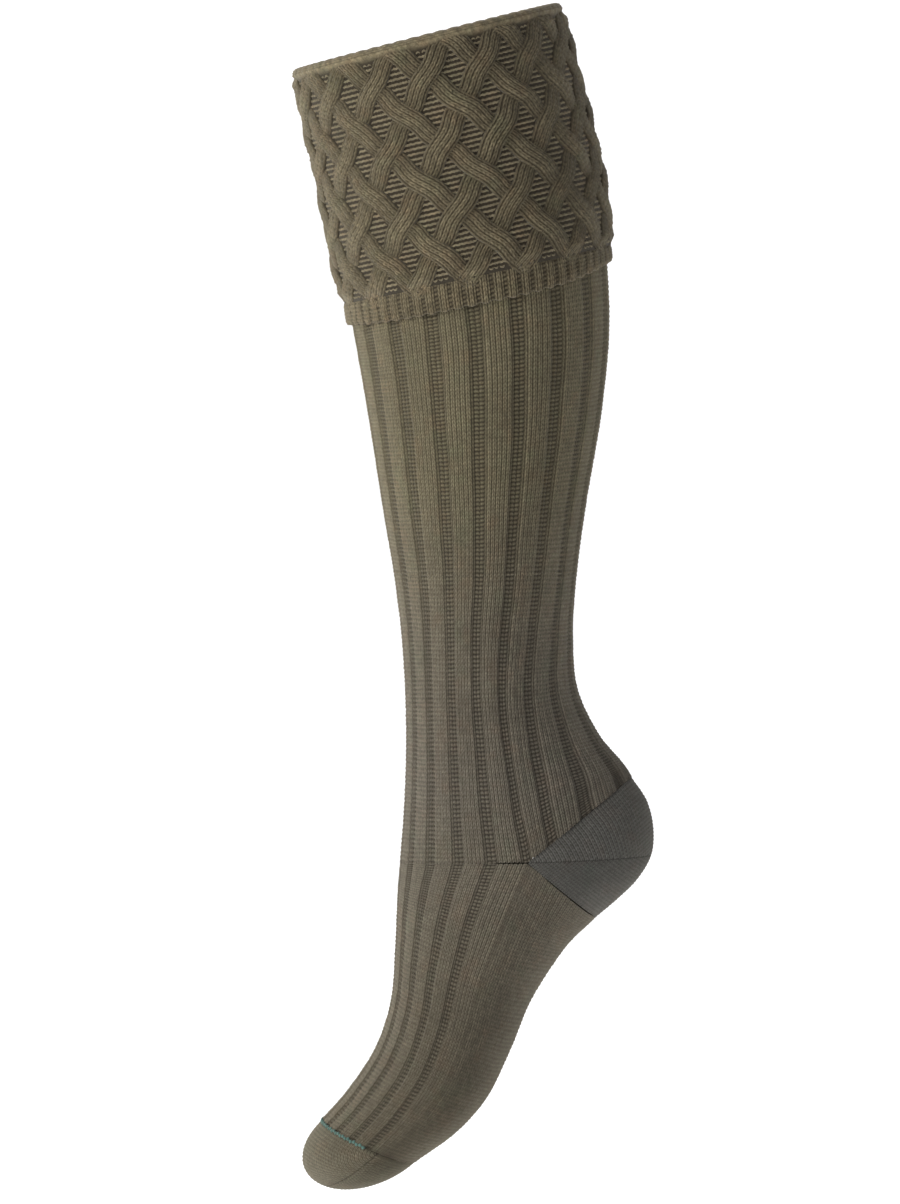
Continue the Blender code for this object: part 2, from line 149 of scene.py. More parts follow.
# Rises of a stitch's four columns, at its middle and at its ends, in metres: the groove between
# two wales, the left leg, the groove inside the stitch and the right leg
KNIT_MIDDLE = np.array((-0.16, 0.38, -0.60, 0.38)) * MM
KNIT_END = np.array((-0.42, -0.06, -0.72, -0.06)) * MM
PURL_MIDDLE = np.array((-0.30, 0.42, 0.52, 0.42)) * MM
PURL_END = np.array((-0.60, -0.60, -0.60, -0.60)) * MM
KNIT_LEAN = np.array((-0.36, 0.0, 0.36, 0.0))     # courses, so that the two legs lean to a V
PURL_LEAN = np.array((0.10, 0.0, -0.06, 0.0))

chance = np.random.default_rng(11)

Path = namedtuple("Path", "table reach")
SIDE = slice(2, 4)
BACK = slice(4, 6)


def mix(first, second, share):
    return first + (second - first) * share


def smooth_step(value, low, high):
    t = np.clip((value - low) / (high - low), 0.0, 1.0)
    return t * t * (3.0 - 2.0 * t)


def leg_table():
    table = []
    for row in LEG_ROWS:
        depth = mix(CALF_DEPTH, HEEL_DEPTH, row.ankle)
        width = mix(CALF_WIDTH, ANKLE_WIDTH, row.ankle)
        level = row.side_z * LEG_LENGTH
        table.append((row.front_x * depth, level + row.front_rise * depth,
                      row.side_x * depth, level,
                      row.back_x * depth, level + row.back_rise * depth,
                      0.5 * row.width * width, row.pinch, row.side_wale, row.spread))
    return np.array(table)


def heel_table(corner_ring):
    table = np.tile(corner_ring, (len(HEEL_ROWS), 1))
    for ring, row in zip(table, HEEL_ROWS):
        ring[BACK] = ring[SIDE] + np.array((row.back_x, row.back_z)) * HEEL_DEPTH
        ring[7] = row.pinch
    return table


def foot_table(corner_ring, heel_end):
    first = corner_ring.copy()
    first[BACK] = heel_end[BACK]
    first[7] = heel_end[7]
    table = [first]
    corner = corner_ring[SIDE]
    for row in FOOT_ROWS:
        places = corner + np.array(row[:6]).reshape(3, 2) * FOOT_LENGTH
        table.append(np.concatenate((places.ravel(), (0.5 * row.width * FOOT_WIDTH,), row[7:])))
    return np.array(table)


def path_along(table, place):
    steps = np.linalg.norm(np.diff(table[:, place], axis=0), axis=1)
    return Path(table, np.concatenate(((0.0,), np.cumsum(steps))))


def rings_at(path, where):
    """The rings at some distances along a path, on a smooth curve through its table."""
    table, reach = path
    slopes = np.gradient(table, reach, axis=0)
    index = np.clip(np.searchsorted(reach, where) - 1, 0, len(reach) - 2)
    span = (reach[index + 1] - reach[index])[..., None]
    t = (where - reach[index])[..., None] / span
    start = (1 + 2 * t) * (1 - t) ** 2 * table[index] + t * (1 - t) ** 2 * span * slopes[index]
    end = t ** 2 * (3 - 2 * t) * table[index + 1] + t ** 2 * (t - 1) * span * slopes[index + 1]
    return start + end


def ring_turns(rings, wale):
    """The ring's own angles, 90 degrees at its side point, for wales in degrees from the front."""
    wale = (wale + 180.0) % 360.0 - 180.0
    size = np.abs(wale)
    share = (180.0 - size) / (180.0 - rings[..., 8])
    behind = 180.0 - 90.0 * (share + rings[..., 9] * share * (1.0 - share))
    turn = np.where(size <= rings[..., 8], 90.0 * size / rings[..., 8], behind)
    return np.copysign(turn, wale)


def on_rings(rings, turn, rise):
    """Points of rings, raised off their surface. The near side of the sock is at -Y."""
    behind = np.abs(turn) > 90.0
    arm = np.where(behind[..., None], rings[..., 4:6], rings[..., 0:2]) - rings[..., 2:4]
    cosine = np.cos(np.radians(turn))
    reach = (1.0 + rise / np.linalg.norm(arm, axis=-1)) * np.abs(cosine)
    place = rings[..., 2:4] + arm * reach[..., None]
    narrowing = np.where(behind, 1.0 - rings[..., 7] * cosine ** 2, 1.0)
    y = -(rings[..., 6] + rise) * np.sin(np.radians(turn)) * narrowing
    return np.stack((place[..., 0], y, place[..., 1]), axis=-1)


def on_knit(path, where, wale, rise):
    where, wale, rise = np.broadcast_arrays(where, wale, rise)
    rings = rings_at(path, where)
    return on_rings(rings, ring_turns(rings, wale), rise)


def add_mesh(name, points, faces, knit, open_to_light, material):
    """A smooth mesh with the stitches' own coordinates and how open to light each point is, which
    the wool turns into painted shade.
    """
    mesh = bpy.data.meshes.new(name)
    mesh.vertices.add(len(points))
    mesh.vertices.foreach_set("co", np.asarray(points, dtype=np.float32).ravel())
    corners = np.concatenate([np.asarray(block, dtype=np.int32).ravel() for block in faces])
    sizes = np.concatenate([np.full(len(block), block.shape[1]) for block in faces])
    mesh.loops.add(len(corners))
    mesh.loops.foreach_set("vertex_index", corners)
    mesh.polygons.add(len(sizes))
    starts = np.concatenate(((0,), np.cumsum(sizes)[:-1])).astype(np.int32)
    mesh.polygons.foreach_set("loop_start", starts)
    mesh.update(calc_edges=True)
    layer = mesh.uv_layers.new(name="knit")
    layer.data.foreach_set("uv", np.asarray(knit, dtype=np.float32)[corners].ravel())
    shade = mesh.attributes.new("open_to_light", "FLOAT", "POINT")
    shade.data.foreach_set("value", np.asarray(open_to_light, dtype=np.float32).ravel())
    mesh.shade_smooth()
    mesh.materials.append(material)
    thing = bpy.data.objects.new(name, mesh)
    bpy.context.scene.collection.objects.link(thing)
    return thing


def grid_faces(rows, columns, around, down, first=0):
    """Quads of a grid, facing outwards where columns run with the wales and rows run down."""
    r = np.arange(rows if down else rows - 1)[:, None]
    c = np.arange(columns if around else columns - 1)[None, :]
    below = (r + 1) % rows
    right = (c + 1) % columns
    quads = (r * columns + c, below * columns + c, below * columns + right, r * columns + right)
    return np.stack(np.broadcast_arrays(*quads), axis=-1).reshape(-1, 4) + first


def crease_row(thing, columns, row):
    """Mark the edges of one row sharp, where a knitted face meets the cut of its wall."""
    mesh = thing.data
    ends = np.empty(len(mesh.edges) * 2, dtype=np.int32)
    mesh.edges.foreach_get("vertices", ends)
    ends = ends.reshape(-1, 2) // columns
    sharp = mesh.attributes.get("sharp_edge")
    sharp = sharp or mesh.attributes.new("sharp_edge", "BOOLEAN", "EDGE")
    marks = np.empty(len(mesh.edges), dtype=bool)
    sharp.data.foreach_get("value", marks)
    marks |= (ends[:, 0] == row) & (ends[:, 1] == row)
    sharp.data.foreach_set("value", marks)


Wales = namedtuple("Wales", "degrees slot purl number")


def wales_from(spans):
    """The columns of the stitches, four to a wale, from spans of (start, end, count, purl)."""
    degrees = []
    purl = []
    for start, end, count, is_purl in spans:
        edges = np.linspace(start, end, count * COLUMNS_A_STITCH + 1)[:-1]
        degrees.append(edges)
        purl.append(np.full(len(edges), is_purl))
    degrees = np.concatenate(degrees)
    numbers = np.arange(len(degrees)) / COLUMNS_A_STITCH
    return Wales(degrees, np.arange(len(degrees)) % COLUMNS_A_STITCH, np.concatenate(purl), numbers)


def leg_wales():
    pitch = 360.0 / RIB_COUNT
    spans = []
    for number in range(RIB_COUNT):
        middle = RIB_TURN + number * pitch
        spans.append((middle - PURL_SHARE * pitch, middle + PURL_SHARE * pitch, 2, True))
        spans.append((middle + PURL_SHARE * pitch, middle + (1.0 - PURL_SHARE) * pitch, 6, False))
    return wales_from(spans)


def foot_wales():
    """Ribs over the instep, plain knit under the sole."""
    pitch = 360.0 / RIB_COUNT
    first = math.ceil((-RIBBED_INSTEP - RIB_TURN) / pitch)
    last = math.floor((RIBBED_INSTEP - RIB_TURN) / pitch)
    spans = []
    for number in range(first, last + 1):
        middle = RIB_TURN + number * pitch
        spans.append((middle - PURL_SHARE * pitch, middle + PURL_SHARE * pitch, 2, True))
        if number < last:
            spans.append((middle + PURL_SHARE * pitch, middle + (1.0 - PURL_SHARE) * pitch, 6,
                          False))
    start = RIB_TURN + last * pitch + PURL_SHARE * pitch
    end = RIB_TURN + first * pitch - PURL_SHARE * pitch + 360.0
    spans.append((start, end, 66, False))
    return wales_from(spans)


def rib_relief(degrees, plain_beyond):
    """How far the ribbed surface stands off its plain form, and how open to light it is."""
    pitch = 360.0 / RIB_COUNT
    off = np.abs((degrees - RIB_TURN + 0.5 * pitch) % pitch - 0.5 * pitch)
    shoulder = smooth_step(off, 0.10 * pitch, 0.25 * pitch)
    crown = np.sin(np.pi * off / pitch)
    groove = np.exp(-((off / pitch - 0.135) / 0.030) ** 2)
    ribbed = np.abs((degrees + 180.0) % 360.0 - 180.0) <= plain_beyond
    relief = RIB_CROWN * crown - CHANNEL_DEPTH * (1.0 - shoulder) - GROOVE_DEPTH * groove
    relief = np.where(ribbed, relief, 0.0)
    light = np.where(ribbed, (0.66 + 0.34 * shoulder) * (1.0 - 0.35 * groove), 1.0)
    return relief, light


def uneven(halves, columns, size):
    """A small random value for each leg of each stitch, the same over the whole leg."""
    legs = chance.normal(0.0, size, (halves[-1] // 2 + 2, columns // 2 + 2))
    return legs[(halves[:, None] + 1) // 2, np.arange(columns)[None, :] // 2]


def stitch_rises(wales, halves):
    """Rises and openness to light at half courses, one column of values per wale column."""
    middle = np.where(wales.purl, PURL_MIDDLE[wales.slot], KNIT_MIDDLE[wales.slot])
    end = np.where(wales.purl, PURL_END[wales.slot], KNIT_END[wales.slot])
    rises = np.where((halves % 2 == 0)[:, None], middle[None, :], end[None, :])
    return rises, smooth_step(rises, -0.62 * MM, 0.42 * MM)


def wander(wale, where, size):
    """A slow wave over the knit, so that no wale runs quite straight."""
    turn = np.radians(wale)
    return size * (np.sin(2.0 * turn + 41.0 * where + 0.6) * 0.5
                   + np.sin(7.0 * turn - 67.0 * where + 2.1) * 0.3
                   + np.sin(13.0 * turn + 151.0 * where + 4.0) * 0.2)


def course_places(start, end, count, growth):
    """Distances of the half courses, their height growing evenly from the first to the last."""
    t = np.arange(2 * count + 1) / (2.0 * count)
    heights = 1.0 + growth * t
    steps = 0.5 * (heights[1:] + heights[:-1])
    return start + (end - start) * np.concatenate(((0.0,), np.cumsum(steps))) / steps.sum()


def knitted_tube(name, path, wales, places, halves, ribs, depth, before, material):
    """A tube of stitches with a plain inner face, closed at both ends.

    ribs is the relief and the openness to light of each wale column, depth scales the stitches,
    and before holds the distances of plain rows above them.
    """
    relief, light = ribs
    leans = np.where(wales.purl, PURL_LEAN[wales.slot], KNIT_LEAN[wales.slot])
    height = np.gradient(places)[halves] * 2.0
    where = places[halves][:, None] + leans[None, :] * height[:, None]
    where = np.clip(where, min(places[0], places[halves[0]]), places[-1])
    rises, open_to_light = stitch_rises(wales, halves)
    rises = rises * depth + uneven(halves, len(wales.degrees), 0.07 * MM)
    rises = rises + chance.normal(0.0, 0.06 * MM, len(wales.degrees) // 4)[wales.number.astype(int)]
    degrees = np.broadcast_to(wales.degrees, where.shape)
    degrees = degrees + wander(degrees, where, 0.5)
    where = where + wander(degrees + 50.0, where, 0.5 * MM)
    fine = on_knit(path, where, degrees, relief + rises)
    open_to_light = open_to_light * light
    columns = len(wales.degrees)
    top = [on_knit(path, np.full(columns, place), wales.degrees, relief - 0.2 * MM)
           for place in before]
    first = min([*before, places[halves[0]]])
    inside = [on_knit(path, np.full(columns, place), wales.degrees, -WALL)
              for place in np.linspace(places[halves[-1]], first, 9)]
    inside[0] = on_knit(path, where[-1], degrees[-1], -WALL)
    inside[-1] = on_knit(path, where[0] if not before else first, degrees[0], -WALL)
    rows = np.concatenate([np.reshape(block, (-1, columns, 3))
                           for block in (top, fine, inside) if len(block)])
    count = len(rows)
    end = len(top) + len(fine)
    shade = np.full((count, columns), 0.30)
    shade[len(top):end] = open_to_light
    course = np.zeros((count, columns))
    course[len(top):end] = halves[:, None] * 0.5
    course[end:] = np.linspace(halves[-1], halves[0], 9)[:, None] * 0.5
    knit = np.stack((np.broadcast_to(wales.number, course.shape), course), axis=-1)
    faces = grid_faces(count, columns, around=True, down=True)
    piece = add_mesh(name, rows.reshape(-1, 3), [faces], knit.reshape(-1, 2), shade.ravel(),
                     material)
    for row in (0, end - 1, count - 1, end):
        crease_row(piece, columns, row)
    return piece


def zip_lines(first, second):
    """Triangles between two lines of (index, place) points, from their first to their last."""
    triangles = []
    i = j = 0
    while i < len(first) - 1 or j < len(second) - 1:
        take_first = j == len(second) - 1 or (i < len(first) - 1
                                              and first[i + 1][1] <= second[j + 1][1])
        if take_first:
            triangles.append((first[i][0], first[i + 1][0], second[j][0]))
            i += 1
        else:
            triangles.append((first[i][0], second[j + 1][0], second[j][0]))
            j += 1
    return triangles


def knitted_pocket(name, place, wale_count, rise_scale, faces_turned, material):
    """A short-row pocket: wales run from one edge to a gore at each side and on to the other.

    place(share, way, rise) gives a point, with share from the near end of the gore (0) over the
    middle (1) to the far end (2), and way from the first edge (0) over the gore (1) to the last
    edge (2).
    faces_turned keeps the faces outwards where place runs the other way round.
    """
    points = []
    knit = []
    open_to_light = []
    triangles = []
    previous = None
    total = wale_count * COLUMNS_A_STITCH
    for column in range(total + 1):
        slot = column % COLUMNS_A_STITCH
        share = 0.012 + 1.976 * column / total
        halves = []
        for low, high in ((0.0, 1.0), (2.0, 1.0)):
            ways = np.linspace(low, high, 13)
            track = place(np.full(13, share), ways, np.zeros(13))
            steps = np.linalg.norm(np.diff(track, axis=0), axis=1)
            run = np.concatenate(((0.0,), np.cumsum(steps)))
            courses = run[-1] / POCKET_COURSE
            count = int(2.0 * courses)
            half = np.arange(count + 1)
            lean = KNIT_LEAN[slot] * (1.0 if low == 0.0 else -1.0)
            course = 0.5 * half + np.where((half > 0) & (half < count), lean, 0.0)
            course = np.append(np.clip(course, 0.0, courses - 0.15), courses)
            course = np.maximum.accumulate(course)
            rise = np.where(half % 2 == 0, KNIT_MIDDLE[slot], KNIT_END[slot])
            rise = np.append(rise, -0.55 * MM)
            shade = smooth_step(rise, -0.6 * MM, 0.4 * MM)
            rise = rise * rise_scale + chance.normal(0.0, 0.03 * MM, len(rise))
            way = np.interp(course * POCKET_COURSE, run, ways)
            halves.append((place(np.full(len(way), share), way, rise), course, shade, courses))
        upper, lower = halves
        line_up = []
        for point, course, shade in zip(upper[0], upper[1], upper[2]):
            line_up.append((len(points), course))
            points.append(point)
            knit.append((column / COLUMNS_A_STITCH, course))
            open_to_light.append(shade)
        line_down = []
        for point, course, shade in zip(lower[0][:-1], lower[1][:-1], lower[2][:-1]):
            line_down.append((len(points), course))
            points.append(point)
            knit.append((column / COLUMNS_A_STITCH, 100.0 - course))
            open_to_light.append(shade)
        line_down.append((line_up[-1][0], lower[3]))
        within = []
        for way in (2.0, 1.5, 1.0, 0.5, 0.0):
            within.append(len(points))
            points.append(place(np.array((share,)), np.array((way,)), np.array((-WALL,)))[0])
            knit.append((column / COLUMNS_A_STITCH, 0.0))
            open_to_light.append(0.3)
        loop = (line_up, line_down, within)
        if previous:
            triangles += zip_lines(previous[0], line_up)
            triangles += [tri[::-1] for tri in zip_lines(previous[1], line_down)]
            back = [previous[1][0][0], *previous[2], previous[0][0][0]]
            here = [line_down[0][0], *within, line_up[0][0]]
            for k in range(len(back) - 1):
                triangles.append((back[k], back[k + 1], here[k]))
                triangles.append((back[k + 1], here[k + 1], here[k]))
        ends = ([index for index, _ in line_up] + [index for index, _ in line_down[-2::-1]], within)
        if column in (0, total):
            outer, inner = ends
            inner = inner[::-1]
            stops = np.linspace(0, len(inner) - 1, len(outer))
            fan = zip_lines([(index, stop) for index, stop in zip(outer, stops)],
                            [(index, k) for k, index in enumerate(inner)])
            triangles += fan if column == total else [tri[::-1] for tri in fan]
        previous = loop
    triangles = np.array(triangles)
    if faces_turned:
        triangles = triangles[:, ::-1]
    return add_mesh(name, np.array(points), [triangles], np.array(knit), np.array(open_to_light), material)


def even_turns(count, long_arm, short_arm):
    """A quarter of an ellipse's angles, from its long arm's side, evenly spaced along its edge."""
    angles = np.linspace(0.0, 0.5 * np.pi, count)
    steps = np.hypot(np.diff(np.sin(angles)) * long_arm, np.diff(np.cos(angles)) * short_arm)
    run = np.concatenate(((0.0,), np.cumsum(steps)))
    return run / run[-1], angles


def heel_place(path):
    """Wales square to the heel's edges, meeting on the gore at the level of the corner."""
    gore = path.reach[3]
    shares, angles = even_turns(60, 0.064, 0.029)
    upper_fan = math.radians(36.0)
    lower_fan = math.radians(42.0)
    trial = np.linspace(0.0, 1.0, 60)
    lower_ends = trial * (1.0 + (1.0 / math.cos(lower_fan) - 1.0) * (1.0 - trial ** 2))

    def place(share, way, rise):
        near = np.minimum(share, 2.0 - share)
        start = np.sin(np.interp(near, shares, angles))
        meet = start * (1.0 + (1.0 / math.cos(upper_fan) - 1.0) * (1.0 - start ** 2))
        final = np.interp(meet, lower_ends, trial)
        high = 1.0 + (1.0 / np.cos(upper_fan * np.clip(way, 0, 1)) - 1.0) * (1.0 - start ** 2)
        low = 1.0 + (1.0 / np.cos(lower_fan * np.clip(2.0 - way, 0, 1)) - 1.0) * (1.0 - final ** 2)
        sine = np.clip(np.where(way <= 1.0, start * high, final * low), 0.0, 1.0)
        where = np.where(way <= 1.0, gore * way, gore + (path.reach[-1] - gore) * (way - 1.0))
        where = GAP + where * (1.0 - 2.0 * GAP / path.reach[-1])
        turn = 90.0 + np.degrees(np.arcsin(sine))
        turn = np.where(share > 1.0, turn - 2.0 * turn, turn)
        return on_rings(rings_at(path, where), turn, rise)

    return place


def toe_place(base, tip):
    """Wales that run from the seam over the tip to the sole, fanned from the toe's two sides."""
    front, side, back = base[0:2], base[2:4], base[4:6]
    middle = 0.5 * (front + back)
    axis = tip - middle
    length = np.linalg.norm(axis)
    onward = (tip - side) / np.linalg.norm(tip - side) * GAP
    shares, angles = even_turns(60, 0.030, base[6])

    def place(share, way, rise):
        near = np.minimum(share, 2.0 - share)
        angle = np.interp(near, shares, angles)
        sine = np.sin(angle)
        turn = 0.5 * np.pi * way
        along = sine * np.sin(turn)
        across = sine * np.cos(turn)
        size = np.sqrt(np.clip(1.0 - along ** 2, 0.0, 1.0))
        arm = np.where((across >= 0.0)[..., None], front, back) - side
        grow = 1.0 + rise / 0.030
        place = (middle + onward + axis * (along * (1.0 + rise / length))[..., None]
                 + (side - middle) * size[..., None]
                 + arm * (np.abs(across) * grow)[..., None])
        y = -(base[6] + rise) * np.cos(angle) * np.where(share > 1.0, -1.0, 1.0)
        return np.stack((place[..., 0], y, place[..., 1]), axis=-1)

    return place


def lattice_drop(row):
    return FOLD_DROP + row * CABLE_ROW_HEIGHT


def band_swerve(level):
    """How far around the leg a band runs in one row, at a level of the lattice."""
    return CABLE_STEP * (1.0 + CABLE_SWAY * np.cos(2.0 * np.pi * level))


def cable_run(level):
    """How many columns a band has crossed at a level of the lattice."""
    return level + CABLE_SWAY / (2.0 * np.pi) * np.sin(2.0 * np.pi * level)


def cable_bands(path, material):
    """The woven bands: strips of stitches that pass over and under each other in turn."""
    step = 180.0 / CABLE_COLUMNS
    trial = np.linspace(-0.1, CABLE_ROWS + 0.2, 800)
    speed = np.hypot(band_swerve(trial), CABLE_ROW_HEIGHT)
    run = np.concatenate(((0.0,), np.cumsum(0.5 * (speed[1:] + speed[:-1]) * np.diff(trial))))
    run -= np.interp(0.0, trial, run)
    last = np.interp(CABLE_ROWS + 0.06, trial, run)
    count = int(round(last / CABLE_COURSE))
    halves = np.arange(2 * count + 1)
    across = np.arange(CABLE_WALES * COLUMNS_A_STITCH + 1)
    slots = across % COLUMNS_A_STITCH
    even = (halves % 2 == 0)[:, None]
    rises = np.where(even, KNIT_MIDDLE[slots][None, :], KNIT_END[slots][None, :]) * 1.35
    open_to_light = smooth_step(rises, -0.85 * MM, 0.55 * MM)
    offset = across / across[-1] * 2.0 - 1.0
    lean = KNIT_LEAN[slots] * 1.25 * CABLE_COURSE
    points = []
    knit = []
    shade = []
    faces = []
    columns = len(across) + 2
    for slope in (-1, 1):
        for band in range(CABLE_COLUMNS):
            loose = uneven(halves, len(across), 0.10 * CABLE_COURSE)
            along = halves[:, None] * 0.5 * CABLE_COURSE + lean[None, :] + loose
            sideways = offset[None, :] * CABLE_HALF_WIDTH
            level = np.interp(along, run, trial)
            swerve = slope * band_swerve(level)
            speed = np.hypot(swerve, CABLE_ROW_HEIGHT)
            row = level - sideways * swerve / (speed * CABLE_ROW_HEIGHT)
            row = np.maximum(row, BAND_TOP + 0.15 * (row - BAND_TOP))
            column = (2 * band + slope * cable_run(level)
                      + sideways * CABLE_ROW_HEIGHT / (speed * CABLE_STEP))
            over = slope * np.cos(np.pi * level)
            fade = smooth_step(row, -0.02, 0.30) * smooth_step(-row, -CABLE_ROWS - 0.02,
                                                               -CABLE_ROWS + 0.35)
            bulge = np.clip(1.0 - offset[None, :] ** 2, 0.0, 1.0) ** 0.7
            edge = BAND_EDGE[0] + BAND_EDGE[1] * over
            crown = BAND_CROWN[0] + BAND_CROWN[1] * over
            body = (edge + (crown - edge) * bulge) * fade + 0.25 * MM
            rise = GROUND + body + rises * (0.4 + 0.6 * fade)
            rise = rise + uneven(halves, len(across), 0.13 * MM)
            wale = CABLE_TURN + column * step
            wale = wale + wander(wale, lattice_drop(row), 0.9)
            drop = lattice_drop(row) + wander(wale + 30.0, lattice_drop(row), 0.7 * MM)
            grid = on_knit(path, drop, wale, rise)
            left = on_knit(path, drop[:, 0], wale[:, 0], np.full(len(halves), GROUND - 0.6 * MM))
            right = on_knit(path, drop[:, -1], wale[:, -1], np.full(len(halves), GROUND - 0.6 * MM))
            strip = np.concatenate((left[:, None], grid, right[:, None]), axis=1)
            first = len(points) * strip.shape[0] * columns
            points.append(strip)
            light = open_to_light * (0.50 + 0.50 * bulge) * (0.82 + 0.18 * over)
            light = np.concatenate((light[:, :1] * 0, light, light[:, :1] * 0), axis=1)
            shade.append(light)
            number = np.concatenate(((0.0,), across / 4.0, (4.0,))) + 7.0 * len(points)
            course = np.broadcast_to(halves[:, None] * 0.5, light.shape)
            knit.append(np.stack((np.broadcast_to(number, light.shape), course), axis=-1))
            quads = grid_faces(len(halves), columns, around=True, down=False, first=first)
            faces.append(quads)
            for row_index, flip in ((0, False), (len(halves) - 1, True)):
                rim = first + row_index * columns + np.arange(columns)
                fan = [(rim[0], rim[k], rim[k + 1]) for k in range(1, columns - 1)]
                faces.append(np.array([tri[::-1] for tri in fan] if flip else fan))
    return add_mesh("cable_bands", np.concatenate(points).reshape(-1, 3), faces,
                    np.concatenate(knit).reshape(-1, 2), np.concatenate(shade).ravel(), material)


def fold_profile():
    """The cuff's section as (rise, drop, openness to light for painted shade, beads), from the hem
    up, over and in.
    """
    outside = GROUND + 1.5 * MM
    middle = 0.5 * (outside - WALL)
    radius = 0.5 * (outside + WALL)
    profile = [(GROUND, drop, 0.0, 0.0) for drop in np.linspace(CUFF_HEIGHT + GAP, 0.009, 24)]
    profile += [(GROUND + 0.35 * MM, 0.0065, 0.05, 0.0), (GROUND + 0.95 * MM, 0.0045, 0.55, 0.0)]
    for number, turn in enumerate(np.radians(np.arange(0, 181, 12))):
        ridge = number % 2 == 0
        reach = radius + (0.12 if ridge else -0.18) * MM
        profile.append((middle + reach * math.cos(turn),
                        FOLD_DROP - (FOLD_DROP + reach - radius) * math.sin(turn),
                        0.80 if ridge else 0.40, (1.0 - number % 4) if ridge else 0.0))
    profile += [(-WALL, 0.006, 0.5, 0.0), (-WALL, FOLD_RETURN, 0.5, 0.0),
                (0.0, FOLD_RETURN, 0.2, 0.0), (0.0, 0.006, 0.2, 0.0),
                (CUFF_CLEARANCE, 0.006, 0.2, 0.0)]
    profile += [(CUFF_CLEARANCE, drop, 0.2, 0.0)
                for drop in np.linspace(0.02, CUFF_HEIGHT + GAP, 9)]
    return np.array(profile)


def fold_lobes(wale, drop):
    """The fold's edge is scalloped by the ribs that turn over it."""
    ripple = np.abs(np.cos(np.radians(wale) * 0.5 * HEM_RIBS)) - 0.55
    return 0.45 * MM * ripple * (1.0 - smooth_step(drop, 0.001, 0.0075))


def cuff_ground(path, material):
    """The layer that the bands lie on, with the fold over the top and its return inside."""
    columns = 8 * HEM_RIBS
    wales = np.arange(columns) * 360.0 / columns
    profile = fold_profile()
    rise = profile[:, 0, None]
    drop = profile[:, 1, None]
    outer = rise > 0.0
    lobes = np.where(outer, fold_lobes(wales[None, :], drop), 0.0)
    top = (1.0 - smooth_step(drop, 0.0, 0.003)) * fold_lobes(wales[None, :], 0.0 * drop)
    beads = profile[:, 3, None] * np.cos(0.5 * np.pi * np.arange(columns))[None, :]
    rows = on_knit(path, drop - top, wales[None, :], rise + lobes + 0.12 * MM * beads)
    rows = rows[::-1]
    shade = (profile[:, 2, None] + 0.20 * beads)[::-1]
    knit = np.stack(np.broadcast_arrays(wales[None, :] / 2.5, profile[::-1, 1, None] / 0.0022), -1)
    faces = grid_faces(len(rows), columns, around=True, down=True)
    return add_mesh("cuff_ground", rows.reshape(-1, 3), [faces], knit.reshape(-1, 2),
                    shade.ravel(), material)


